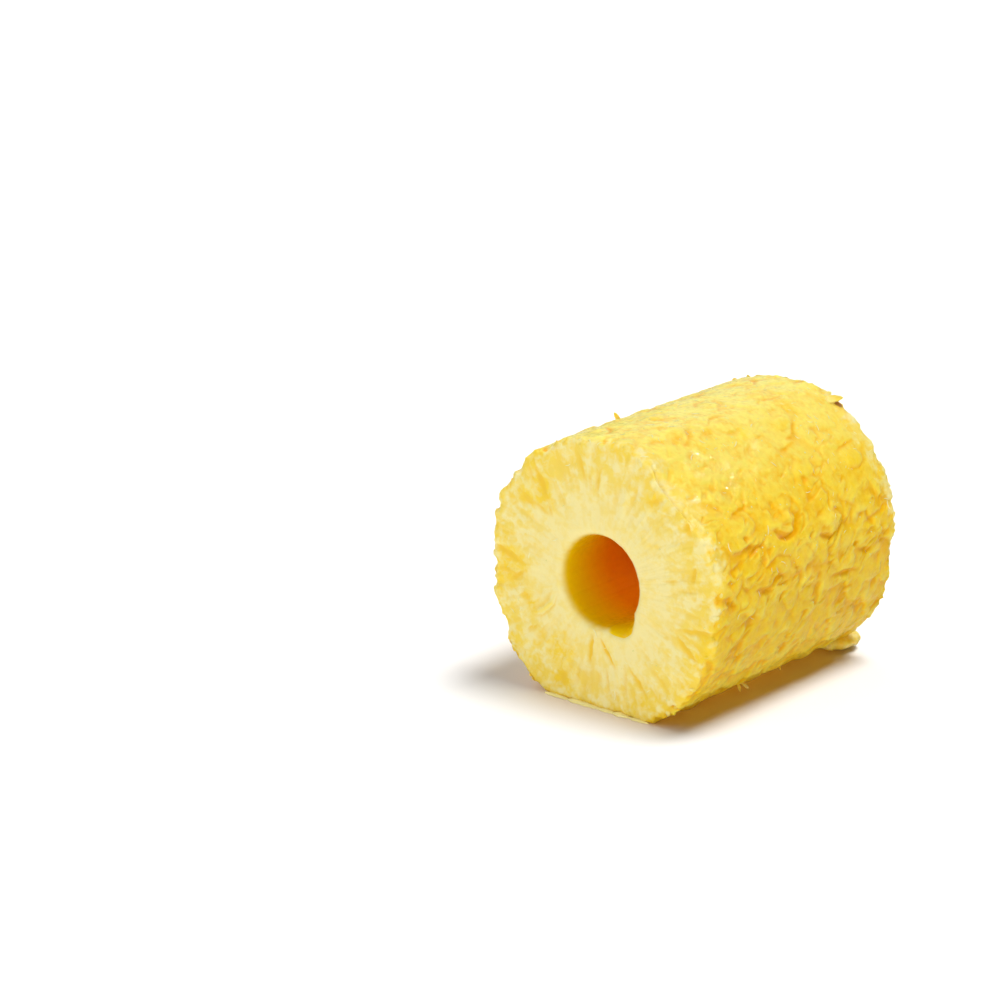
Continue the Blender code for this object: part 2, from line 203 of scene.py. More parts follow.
class Graph:
    """A node tree under construction."""

    def __init__(self, tree: bpy.types.NodeTree) -> None:
        """Holds the tree that the nodes are added to."""
        self.tree = tree
        self.inlet: bpy.types.Node | None = None

    @classmethod
    def group(cls, name: str, kind: str) -> "Graph":
        """Starts an empty node group.

        Args:
            name: The group's name.
            kind: GeometryNodeTree or ShaderNodeTree.

        Returns:
            The graph of the new group.
        """
        graph = cls(bpy.data.node_groups.new(name, kind))
        graph.inlet = graph.tree.nodes.new("NodeGroupInput")
        return graph

    def takes(self, name: str, kind: str, default: object = None) -> Field:
        """Adds a named input to the group.

        Args:
            name: The input's name.
            kind: What it carries, such as Float, Int or Object.
            default: Its value where nothing is fed.

        Returns:
            The input as a field.
        """
        socket = f"NodeSocket{kind}"
        item = self.tree.interface.new_socket(name, in_out="INPUT", socket_type=socket)
        if default is not None:
            item.default_value = default
        return Field(self.inlet.outputs[name])

    def takes_each(self, kind: str, *names: str) -> list[Field]:
        """Adds several named inputs that carry the same kind of thing."""
        return [self.takes(name, kind) for name in names]

    def gives(self, **values: Field) -> None:
        """Adds the group's outputs, which are named and typed after what feeds them."""
        outlet = self.tree.nodes.new("NodeGroupOutput")
        for name, value in values.items():
            kind = value.socket.bl_idname
            kind = "NodeSocketFloat" if kind.startswith("NodeSocketFloat") else kind
            kind = "NodeSocketVector" if kind.startswith("NodeSocketVector") else kind
            title = name.replace("_", " ").title()
            self.tree.interface.new_socket(title, in_out="OUTPUT", socket_type=kind)
            feed(outlet.inputs[title], value)

    def add(self, kind: str, inputs: dict | None = None, **settings: object) -> bpy.types.Node:
        """Adds a node.

        Args:
            kind: The node's type.
            inputs: Values or fields by the input's name or number.
            **settings: The node's own properties.

        Returns:
            The new node.
        """
        node = self.tree.nodes.new(kind)
        for name, value in settings.items():
            setattr(node, name, value)
        for name, value in (inputs or {}).items():
            feed(node.inputs[name], value)
        return node

    def make(
        self, kind: str, inputs: dict | None = None, output: str | int = 0, **settings: object
    ) -> Field:
        """Adds a node and returns one of its outputs as a field."""
        return Field(self.add(kind, inputs, **settings).outputs[output])

    def join(self, x: "Field | float", y: "Field | float", z: "Field | float") -> Field:
        """A vector of three values."""
        return self.make("ShaderNodeCombineXYZ", {"X": x, "Y": y, "Z": z})

    def around(self, angle: Field, radius: float, along: "Field | float") -> Field:
        """A place on a turned surface: an angle on a circle, and how far along."""
        return self.join(angle.cos() * radius, angle.sin() * radius, along)

    def split(self, vector: Field) -> tuple[Field, Field, Field]:
        """The three values of a vector."""
        node = self.add("ShaderNodeSeparateXYZ", {"Vector": vector})
        return Field(node.outputs[0]), Field(node.outputs[1]), Field(node.outputs[2])

    def scaled(self, vector: Field, factor: "Field | float") -> Field:
        """A vector times a number."""
        return self.make("ShaderNodeVectorMath", {0: vector, "Scale": factor}, operation="SCALE")

    def plus(self, first: Field, second: "Field | tuple[float, float, float]") -> Field:
        """The sum of two vectors."""
        return self.make("ShaderNodeVectorMath", {0: first, 1: second}, operation="ADD")

    def minus(self, first: Field, second: Field) -> Field:
        """The difference of two vectors."""
        return self.make("ShaderNodeVectorMath", {0: first, 1: second}, operation="SUBTRACT")

    def along(self, first: Field, second: Field) -> Field:
        """How far the first vector goes along the second."""
        inputs = {0: first, 1: second}
        return self.make("ShaderNodeVectorMath", inputs, "Value", operation="DOT_PRODUCT")

    def chance(self, seed: Field) -> Field:
        """A random number from 0 to 1 for each point."""
        return self.make("FunctionNodeRandomValue", {"Seed": seed}, 1, data_type="FLOAT")

    def noise(
        self, place: Field, scale: "Field | float", detail: "Field | float" = 2.0,
        twist: "Field | float" = 0.0, output: str | int = 0,
    ) -> Field:
        """Plain noise, which lies about 0.5."""
        inputs = {"Vector": place, "Scale": scale, "Detail": detail, "Distortion": twist}
        return self.make("ShaderNodeTexNoise", inputs, output)

    def uneven(self, place: Field, size: float, detail: float = 2.0, twist: float = 0.0) -> Field:
        """Soft unevenness from about -0.5 to 0.5.

        Args:
            place: Where it is read, in metres.
            size: How long one of its lumps is.
            detail: How many finer layers it has.
            twist: How far it is distorted.

        Returns:
            The unevenness.
        """
        return self.noise(place, 1 / size, detail, twist) - 0.5

    def astray(self, place: Field, size: float, reach: float) -> Field:
        """A shift to any side that changes softly from place to place.

        Args:
            place: Where it is read, in metres.
            size: How far it is from one shift to the next.
            reach: How far it goes, from one side to the other.

        Returns:
            The shift.
        """
        wave = self.noise(place, 1 / size, output="Color")
        return self.scaled(self.plus(wave, (-0.5, -0.5, -0.5)), reach)

    def here(self) -> Field:
        """The place of each point."""
        return self.make("GeometryNodeInputPosition")

    def carried(self, name: str, kind: str = "FLOAT") -> Field:
        """What each point carries under that name."""
        return self.make("GeometryNodeInputNamedAttribute", {"Name": name}, data_type=kind)

    def ball(self, segments: int, rings: int) -> Field:
        """A ball of radius 1."""
        inputs = {"Segments": segments, "Rings": rings, "Radius": 1.0}
        return self.make("GeometryNodeMeshUVSphere", inputs)

    def moved(self, flow: Field, target: Field) -> Field:
        """The geometry with its points at the target."""
        return self.make("GeometryNodeSetPosition", {"Geometry": flow, "Position": target})

    def stored(self, flow: Field, **values: "Field | float") -> Field:
        """The geometry whose points carry these numbers, by the attribute's name."""
        for name, value in values.items():
            inputs = {"Geometry": flow, "Name": name, "Value": value}
            settings = {"data_type": "FLOAT", "domain": "POINT"}
            flow = self.make("GeometryNodeStoreNamedAttribute", inputs, **settings)
        return flow

    def ends(self, flow: Field, finish: Field, **values: "Field | float") -> "Graph":
        """Ends a tree: its copies become real faces, with these numbers and the finish."""
        flow = self.make("GeometryNodeRealizeInstances", {"Geometry": flow})
        flow = self.stored(flow, **values)
        flow = self.make("GeometryNodeSetMaterial", {"Geometry": flow, "Material": finish})
        self.gives(geometry=flow)
        return self

    def shade(self, values: dict[str, object]) -> None:
        """Feeds a material's shader, by the names of its sockets."""
        shader = self.tree.nodes["Principled BSDF"]
        for name, value in values.items():
            feed(shader.inputs[name], value)


class Nearest:
    """What the point of a guide nearest to a place carries."""

    def __init__(self, graph: Graph, guide: Field, probe: Field) -> None:
        """Looks the point up.

        Args:
            graph: The tree.
            guide: The guide object.
            probe: Where the nearest point is looked for.
        """
        self.graph = graph
        self.cloud = graph.make("GeometryNodeObjectInfo", {"Object": guide}, "Geometry")
        inputs = {"Geometry": self.cloud, "Sample Position": probe}
        self.index = graph.make("GeometryNodeSampleNearest", inputs, domain="POINT")
        self.offset = graph.minus(probe, self.sample(graph.here(), "FLOAT_VECTOR"))
        inputs = {0: self.offset}
        self.away = graph.make("ShaderNodeVectorMath", inputs, "Value", operation="LENGTH")

    def sample(self, value: Field, kind: str) -> Field:
        """The guide's value at the point."""
        inputs = {"Geometry": self.cloud, "Value": value, "Index": self.index}
        return self.graph.make("GeometryNodeSampleIndex", inputs, data_type=kind)

    def number(self, name: str) -> Field:
        """A number that the point carries."""
        return self.sample(self.graph.carried(name), "FLOAT")

    def vector(self, name: str) -> Field:
        """A vector that the point carries."""
        return self.sample(self.graph.carried(name, "FLOAT_VECTOR"), "FLOAT_VECTOR")


def placed(name: str, data: bpy.types.ID) -> bpy.types.Object:
    """Links a new object of that mesh, light or camera into the scene."""
    thing = bpy.data.objects.new(name, data)
    bpy.context.scene.collection.objects.link(thing)
    return thing


def new_finish(name: str) -> tuple[bpy.types.Material, Graph]:
    """A new material, and the graph of its nodes."""
    material = bpy.data.materials.new(name)
    material.use_nodes = True
    return material, Graph(material.node_tree)


def point_cloud(name: str, places: np.ndarray, **values: np.ndarray) -> bpy.types.Object:
    """A mesh of loose points that a node tree reads as a guide.

    Args:
        name: The object's name.
        places: One row of X, Y and Z for each point.
        **values: Numbers or vectors that each point carries, by the attribute's name.

    Returns:
        The guide object, which isn't a piece and is removed once it has been read.
    """
    mesh = bpy.data.meshes.new(name)
    mesh.from_pydata([tuple(p) for p in places.tolist()], [], [])
    for key, numbers in values.items():
        kind, entry = ("FLOAT_VECTOR", "vector") if np.ndim(numbers) == 2 else ("FLOAT", "value")
        layer = mesh.attributes.new(key, kind, "POINT")
        layer.data.foreach_set(entry, np.asarray(numbers, dtype=np.float32).ravel())
    return placed(name, mesh)


def new_piece(name: str, mesh: bpy.types.Mesh, finish: bpy.types.Material) -> bpy.types.Object:
    """Links a mesh as a smooth piece of one finish that rides on the block's body."""
    mesh.name = name
    mesh.materials.clear()
    mesh.materials.append(finish)
    mesh.polygons.foreach_set("material_index", np.zeros(len(mesh.polygons), dtype=np.int32))
    piece = placed(name, mesh)
    mesh.shade_smooth()
    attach(piece, BODY)
    LOG.info("%s: %d faces", name, len(mesh.polygons))
    return piece


def grown(name: str, graph: Graph, settings: dict) -> bpy.types.Object:
    """A plain piece of what a node tree makes.

    Args:
        name: The piece's name.
        graph: The tree, which needs no incoming geometry.
        settings: Values of the tree's inputs by name.

    Returns:
        The piece, without any modifier.
    """
    host = placed(f"{name}_host", bpy.data.meshes.new(f"{name}_host"))
    modifier = host.modifiers.new("grow", "NODES")
    modifier.node_group = graph.tree
    for item in graph.tree.interface.items_tree:
        if item.in_out == "INPUT" and item.name in settings:
            modifier[item.identifier] = settings[item.name]
    bpy.context.view_layer.update()
    ready = host.evaluated_get(bpy.context.evaluated_depsgraph_get())
    mesh = bpy.data.meshes.new_from_object(ready)
    bpy.data.objects.remove(host, do_unlink=True)
    return new_piece(name, mesh, settings["Finish"])


@dataclass(frozen=True)
class Stroke:
    """A furrow or a ridge along a short bowed line.

    On the side a place is metres along Y from the block's middle and degrees round it. On
    an end it is metres across and up from the hole's axis. A depth below 0 is a ridge.
    """

    start: tuple[float, float]
    end: tuple[float, float]
    depth: float
    width: float
    bow: float = 0.0


@dataclass(frozen=True)
class Patch:
    """A soft oval on the side or on an end, with its half sizes and how strong it is."""

    place: tuple[float, float]
    half: tuple[float, float]
    strength: float


class Face(Enum):
    """The parts of the block that a mark can lie on."""

    SIDE = "side"
    FRONT = "front"
    BACK = "back"


SIDE_STROKES = (
    Stroke((-0.0359, 32.5), (-0.0238, 35.4), 0.0011, 0.0008, 0.0005),
    Stroke((-0.0168, 27.1), (-0.0047, 28.6), 0.0006, 0.0006, 0.0007),
    Stroke((-0.0180, 24.2), (-0.0055, 20.0), 0.0019, 0.0009, -0.0022),
    Stroke((-0.0038, 27.1), (-0.0030, 23.2), 0.0006, 0.0008, 0.0005),
    Stroke((-0.0330, 23.9), (-0.0314, 23.5), 0.0012, 0.0009),
    Stroke((-0.0463, 12.9), (-0.0355, 16.3), 0.0010, 0.0008, 0.0003),
    Stroke((-0.0268, 10.5), (-0.0188, 13.4), 0.0015, 0.0008, -0.0006),
    Stroke((-0.0188, 13.4), (-0.0110, 11.0), 0.0007, 0.0006, 0.0003),
    Stroke((-0.0178, 7.0), (-0.0170, 3.5), 0.0012, 0.0014),
    Stroke((-0.0297, 3.1), (-0.0213, 0.7), 0.0015, 0.0007, -0.0002),
    Stroke((-0.0447, 3.8), (-0.0405, -0.5), 0.0016, 0.0010, -0.0004),
    Stroke((-0.0388, -9.6), (-0.0280, -5.2), 0.0011, 0.0008, -0.0007),
    Stroke((-0.0038, 4.1), (0.0028, 5.6), 0.0010, 0.0008),
    Stroke((0.0053, 0.3), (0.0066, -3.4), 0.0010, 0.0010),
    Stroke((0.0133, -4.3), (0.0287, -5.7), 0.0015, 0.0008, 0.0005),
    Stroke((0.0053, 21.2), (0.0108, 23.7), 0.0009, 0.0006, 0.0003),
    Stroke((0.0135, 21.7), (0.0203, 20.0), 0.0009, 0.0010, 0.0010),
    Stroke((0.0206, 18.3), (0.0212, 13.9), 0.0008, 0.0009, 0.0003),
    Stroke((0.0066, 14.9), (0.0145, 12.2), 0.0014, 0.0008, -0.0003),
    Stroke((0.0272, 8.0), (0.0274, 3.3), 0.0009, 0.0007),
    Stroke((0.0274, 3.1), (0.0358, 0.6), 0.0014, 0.0008, -0.0003),
    Stroke((0.0303, 12.4), (0.0437, 14.9), 0.0010, 0.0007, 0.0003),
    Stroke((0.0392, -13.8), (0.0415, -15.2), 0.0014, 0.0013),
    Stroke((0.0060, 37.8), (0.0082, 36.2), 0.0014, 0.0013),
    Stroke((0.0295, 42.7), (0.0420, 44.9), 0.0009, 0.0006),
    Stroke((0.0053, 50.6), (0.0137, 52.2), 0.0007, 0.0006),
    Stroke((-0.0455, 47.3), (-0.0420, 46.7), 0.0011, 0.0009),
    Stroke((0.0210, -15.5), (0.0215, -19.5), 0.0008, 0.0010),
    Stroke((0.0090, -24.0), (0.0132, -28.5), 0.0008, 0.0010),
    Stroke((-0.0172, -13.5), (-0.0152, -16.5), 0.0007, 0.0011),
    Stroke((0.0045, -23.8), (0.0178, -39.4), -0.0006, 0.0005),
    Stroke((0.0230, 72.0), (0.0300, 75.0), 0.0005, 0.0008),
    Stroke((-0.0300, -24.0), (-0.0360, -28.0), 0.0006, 0.0009),
)

# The eyes' domed hearts that show on the lit side.
SIDE_HEARTS = (
    Patch((-0.0113, 24.3), (0.0062, 0.0042), 1.30),
    Patch((0.0128, 17.8), (0.0066, 0.0038), 1.10),
    Patch((0.0352, 7.6), (0.0066, 0.0046), 1.00),
    Patch((-0.0236, 7.0), (0.0050, 0.0038), 1.10),
    Patch((-0.0305, 28.8), (0.0055, 0.0038), 0.80),
    Patch((-0.0420, 8.5), (0.0045, 0.0036), 0.70),
    Patch((-0.0335, -2.0), (0.0050, 0.0034), 0.60),
    Patch((0.0210, -0.8), (0.0060, 0.0034), 0.70),
    Patch((-0.0010, 0.0), (0.0040, 0.0034), 0.50),
    Patch((0.0100, 41.0), (0.0050, 0.0034), 0.60),
    Patch((0.0360, 38.0), (0.0050, 0.0034), 0.60),
    Patch((0.0385, -9.5), (0.0050, 0.0034), 0.60),
)

SIDE_STAINS = (
    Patch((0.0345, 36.9), (0.0060, 0.0030), 0.7),
    Patch((-0.0063, 62.8), (0.0050, 0.0025), 0.6),
    Patch((-0.0243, 63.3), (0.0030, 0.0020), 0.5),
    Patch((0.0253, 66.7), (0.0040, 0.0025), 0.8),
    Patch((0.0162, 61.3), (0.0040, 0.0020), 0.6),
    Patch((0.0437, 54.5), (0.0030, 0.0022), 0.8),
    # The strongest patch, which turns into a dark brown-orange spot just below the flap.
    Patch((0.0482, 60.5), (0.0022, 0.0016), 2.2),
    Patch((0.0070, 37.0), (0.0055, 0.0035), 0.6),
)

FRONT_STROKES = (
    Stroke((-0.0090, 0.0423), (-0.0057, 0.0332), 0.0004, 0.0009),
    Stroke((0.0010, 0.0398), (-0.0011, 0.0307), 0.0005, 0.0008),
    Stroke((-0.0040, 0.0365), (-0.0032, 0.0290), 0.0003, 0.0006),
    Stroke((-0.0265, 0.0348), (-0.0207, 0.0232), 0.0007, 0.0010),
    Stroke((-0.0207, 0.0232), (-0.0194, 0.0186), 0.0004, 0.0007),
    Stroke((-0.0340, 0.0257), (-0.0205, 0.0188), 0.0005, 0.0008),
    Stroke((-0.0323, 0.0232), (-0.0265, 0.0215), 0.0008, 0.0009),
    Stroke((-0.0305, 0.0360), (-0.0270, 0.0290), 0.0004, 0.0008),
    Stroke((-0.0430, 0.0039), (-0.0318, 0.0002), 0.0009, 0.0011),
    Stroke((-0.0423, -0.0035), (-0.0340, -0.0043), 0.0006, 0.0009),
    Stroke((-0.0373, -0.0068), (-0.0310, -0.0025), 0.0006, 0.0008),
    Stroke((-0.0315, -0.0093), (-0.0290, -0.0127), 0.0005, 0.0011),
    Stroke((-0.0182, -0.0085), (-0.0265, -0.0160), -0.0007, 0.0007, 0.0014),
    Stroke((-0.0198, -0.0078), (-0.0282, -0.0148), 0.0004, 0.0007, 0.0014),
    Stroke((-0.0298, -0.0227), (-0.0248, -0.0202), 0.0005, 0.0007),
    Stroke((-0.0257, -0.0243), (-0.0207, -0.0185), 0.0003, 0.0007),
    Stroke((-0.0023, -0.0193), (-0.0036, -0.0310), 0.0007, 0.0008),
    Stroke((0.0014, -0.0202), (0.0077, -0.0293), 0.0008, 0.0008),
    Stroke((0.0118, -0.0268), (0.0127, -0.0377), 0.0004, 0.0006),
    Stroke((0.0135, -0.0260), (0.0202, -0.0343), 0.0006, 0.0007),
    Stroke((0.0323, -0.0114), (0.0402, -0.0177), 0.0009, 0.0008),
    Stroke((0.0320, -0.0098), (0.0370, -0.0130), -0.0004, 0.0006),
    Stroke((0.0327, -0.0085), (0.0460, -0.0073), 0.0006, 0.0008),
    Stroke((0.0127, 0.0373), (0.0118, 0.0332), 0.0003, 0.0007),
    Stroke((0.0193, 0.0310), (0.0252, 0.0332), 0.0007, 0.0008),
    Stroke((0.0389, 0.0132), (0.0381, 0.0082), 0.0010, 0.0007),
    Stroke((0.0268, 0.0065), (0.0327, 0.0073), 0.0004, 0.0006),
    Stroke((0.0345, 0.0275), (0.0365, 0.0240), 0.0007, 0.0009),
    Stroke((-0.0148, -0.0340), (-0.0140, -0.0400), 0.0005, 0.0012),
    Stroke((-0.0080, -0.0340), (-0.0095, -0.0410), 0.0003, 0.0008),
    Stroke((0.0040, -0.0310), (0.0060, -0.0410), 0.0003, 0.0007),
    Stroke((0.0220, -0.0240), (0.0300, -0.0310), 0.0003, 0.0007),
    Stroke((0.0355, 0.0045), (0.0385, 0.0005), -0.0003, 0.0007),
)

FRONT_STAINS = (
    Patch((-0.0235, 0.0262), (0.0030, 0.0060), 1.0),
    Patch((-0.0300, 0.0235), (0.0040, 0.0022), 0.7),
    Patch((-0.0322, 0.0004), (0.0034, 0.0028), 1.0),
    Patch((-0.0385, 0.0015), (0.0052, 0.0044), 1.0),
    Patch((-0.0415, -0.0040), (0.0050, 0.0038), 1.0),
    Patch((-0.0280, -0.0135), (0.0040, 0.0030), 0.7),
    Patch((-0.0161, -0.0268), (0.0034, 0.0080), 1.0),
    Patch((-0.0148, -0.0370), (0.0030, 0.0045), 0.9),
    Patch((0.0445, -0.0085), (0.0040, 0.0030), 0.9),
    Patch((0.0435, -0.0155), (0.0040, 0.0040), 0.8),
    Patch((0.0225, 0.0182), (0.0035, 0.0025), 0.35),
    Patch((0.0222, 0.0322), (0.0045, 0.0020), 0.7),
    Patch((0.0200, -0.0380), (0.0050, 0.0030), 0.5),
    Patch((0.0360, -0.0310), (0.0040, 0.0030), 0.5),
)


@dataclass
class Marks:
    """Every furrow, domed heart and stain on the block, by measure or by rule.

    The lit side and the front end hold the marks listed above. The hidden sides get the
    same kinds of mark on the lattice of eyes and on evenly turned fruitlets. Lengths are
    metres, and the pair of furrows beside an eye is a place, a depth and a bow in
    millimetres.
    """

    half_length: float
    turned_radius: float
    eyes_in_ring: int = 8
    ring_pitch: float = 0.0109
    ring_turn: float = math.radians(-3.4)
    first_angle: float = math.radians(11.2)
    first_y: float = -0.0395
    wander: float = 0.0014
    faint: float = 0.4
    bold_side: float = math.radians(-8)
    listed_arc: tuple[float, float] = (-42.0, 58.0)
    furrow_half: float = 0.0056
    furrow_pair: tuple = ((-3.9, 1.7, -1.9), (4.0, 0.8, 0.8))
    heart_half: tuple[float, float] = (0.0058, 0.0039)
    eye_stain: tuple[float, float] = (0.005, 0.003)
    end_stain: tuple[float, float] = (0.0035, 0.0045)
    deep_on_side: float = 0.0011
    deep_on_end: float = 0.0006
    fruitlets: int = 15
    spacing: float = 0.0004

    def side_point(self, along: float, angle: float) -> tuple[float, float, float]:
        """A place on the plain turned side, from metres along Y and an angle round it."""
        return self.turned_radius * math.cos(angle), along, self.turned_radius * math.sin(angle)

    def end_point(self, face: Face, across: float, up: float) -> tuple[float, float, float]:
        """A place on the plain end."""
        return across, -self.half_length if face is Face.FRONT else self.half_length, up

    def lattice(self) -> Iterator[tuple[float, float, float, float]]:
        """Angle, place along Y, size and boldness of each eye of the lattice."""
        draw = random.Random(SEED)
        rings = 2 + round(2 * self.half_length / self.ring_pitch)
        for ring in range(-1, rings):
            half_place = math.pi / self.eyes_in_ring * (ring % 2)
            for place in range(self.eyes_in_ring):
                angle = self.first_angle + half_place + self.ring_turn * ring
                angle += FULL_TURN * place / self.eyes_in_ring
                angle += draw.uniform(-self.wander, self.wander) / self.turned_radius
                along = self.first_y + self.ring_pitch * ring
                along += draw.uniform(-self.wander, self.wander)
                size = draw.uniform(0.75, 1.15)
                draw.random()  # A spare draw, which keeps the later eyes where they are.
                facing = 0.5 + 0.5 * math.cos(2 * (angle - self.bold_side))
                yield angle, along, size, self.faint + (1 - self.faint) * facing

    def hidden_eyes(self) -> list[tuple[float, float, float, float]]:
        """The lattice's eyes outside the arc whose marks are listed."""
        low, high = self.listed_arc
        reach = self.half_length + self.ring_pitch / 2
        eyes = []
        for eye in self.lattice():
            degrees = (math.degrees(eye[0]) + 180) % 360 - 180
            if not low < degrees < high and abs(eye[1]) < reach:
                eyes.append(eye)
        return eyes

    def side_strokes(self) -> list[Stroke]:
        """The listed furrows of the side, and a pair of furrows beside each hidden eye."""
        draw = random.Random(SEED + 2)
        strokes = list(SIDE_STROKES)
        for angle, along, size, bold in self.hidden_eyes():
            side = draw.choice((-1, 1))
            for offset, depth, bow in self.furrow_pair:
                half = self.furrow_half * size * draw.uniform(0.7, 1.1)
                lift = math.degrees(side * offset * 0.001 * size / self.turned_radius)
                slant = math.degrees(draw.uniform(-0.2, 0.9) * half / self.turned_radius)
                middle = math.degrees(angle) + lift
                start = (along - half, middle - slant)
                end = (along + half, middle + slant)
                deep = depth * 0.001 * bold
                strokes.append(Stroke(start, end, deep, 0.0008, side * bow * 0.001))
        return strokes

    def back_strokes(self) -> list[Stroke]:
        """Pairs of furrows that part the fruitlets of the back end."""
        draw = random.Random(SEED + 3)
        strokes = []
        for i in range(self.fruitlets):
            facing = FULL_TURN * (i + draw.uniform(-0.25, 0.25)) / self.fruitlets
            tip = draw.uniform(0.0195, 0.0260)
            for lean in (-1, 1):
                outer = tip + draw.uniform(0.006, 0.014)
                turn = facing + lean * draw.uniform(0.05, 0.13)
                start = (tip * math.cos(facing), tip * math.sin(facing))
                end = (outer * math.cos(turn), outer * math.sin(turn))
                deep, wide = draw.uniform(0.0003, 0.0008), draw.uniform(0.0006, 0.0009)
                strokes.append(Stroke(start, end, deep, wide))
        return strokes

    def stroke_guide(self) -> bpy.types.Object:
        """All furrows and ridges as points that carry their depth and width."""
        rows = []
        runs = [(Face.SIDE, s) for s in self.side_strokes()]
        runs += [(Face.FRONT, s) for s in FRONT_STROKES]
        runs += [(Face.BACK, s) for s in self.back_strokes()]
        for face, stroke in runs:
            rows += self.stroke_points(face, stroke)
        table = np.array(rows)
        return point_cloud(
            "furrow_guide", table[:, :3],
            deep=table[:, 3], wide=table[:, 4], full=table[:, 5], uphill=table[:, 6:9],
        )

    def stroke_points(self, face: Face, stroke: Stroke) -> list[tuple[float, ...]]:
        """Points along one stroke, which is deepest in its middle."""
        full = self.deep_on_side if face is Face.SIDE else self.deep_on_end
        turn = math.radians(1) * self.turned_radius if face is Face.SIDE else 1.0
        start = np.array((stroke.start[0], stroke.start[1] * turn))
        run = np.array((stroke.end[0], stroke.end[1] * turn)) - start
        length = float(np.hypot(*run))
        normal = np.array((-run[1], run[0])) / length
        count = max(3, round(length / self.spacing))
        rows = []
        for i in range(count + 1):
            share = i / count
            swell = math.sin(math.pi * (0.06 + 0.88 * share))
            place = start + run * share + normal * stroke.bow * 4 * share * (1 - share)
            if face is Face.SIDE:
                angle = place[1] / self.turned_radius
                point = self.side_point(place[0], angle)
                uphill = (-normal[1] * math.sin(angle), normal[0], normal[1] * math.cos(angle))
            else:
                point = self.end_point(face, place[0], place[1])
                uphill = (normal[0], 0.0, normal[1])
            deep, wide = stroke.depth * swell**0.6, stroke.width * (0.6 + 0.4 * swell)
            rows.append((*point, deep, wide, full, *uphill))
        return rows

    def heart_guide(self) -> bpy.types.Object:
        """The domed hearts of the eyes as points that carry their place and sizes."""
        rows = []
        for heart in SIDE_HEARTS:
            along, degrees = heart.place
            rows.append((along, math.radians(degrees), *heart.half, heart.strength))
        half_along, half_up = self.heart_half
        for angle, along, size, bold in self.hidden_eyes():
            rows.append((along, angle, half_along * size, half_up * size, bold))
        table = np.array(rows)
        places = np.array([self.side_point(row[0], row[1]) for row in rows])
        return point_cloud(
            "heart_guide", places, along=table[:, 0], facing=table[:, 1],
            half_along=table[:, 2], half_up=table[:, 3], rise=table[:, 4],
        )

    def stain_guide(self) -> bpy.types.Object:
        """The deeper yellow patches as points that carry their half sizes and strength."""
        draw = random.Random(SEED + 4)
        rows = []
        for patch in SIDE_STAINS:
            along, degrees = patch.place
            place = self.side_point(along, math.radians(degrees))
            rows.append((*place, *patch.half, patch.strength))
        for patch in FRONT_STAINS:
            place = self.end_point(Face.FRONT, *patch.place)
            rows.append((*place, *patch.half, patch.strength))
        half_across, half_up = self.eye_stain
        for angle, along, size, bold in self.hidden_eyes():
            strength = bold * draw.uniform(0.3, 0.9)
            place = self.side_point(along, angle)
            rows.append((*place, half_across * size, half_up * size, strength))
        for i in range(self.fruitlets):
            facing = FULL_TURN * (i + draw.uniform(-0.3, 0.3)) / self.fruitlets
            reach = draw.uniform(0.030, 0.042)
            place = self.end_point(Face.BACK, reach * math.cos(facing), reach * math.sin(facing))
            rows.append((*place, *self.end_stain, draw.uniform(0.2, 1.0)))
        table = np.array(rows)
        return point_cloud(
            "stain_guide", table[:, :3],
            half_across=table[:, 3], half_up=table[:, 4], strength=table[:, 5],
        )


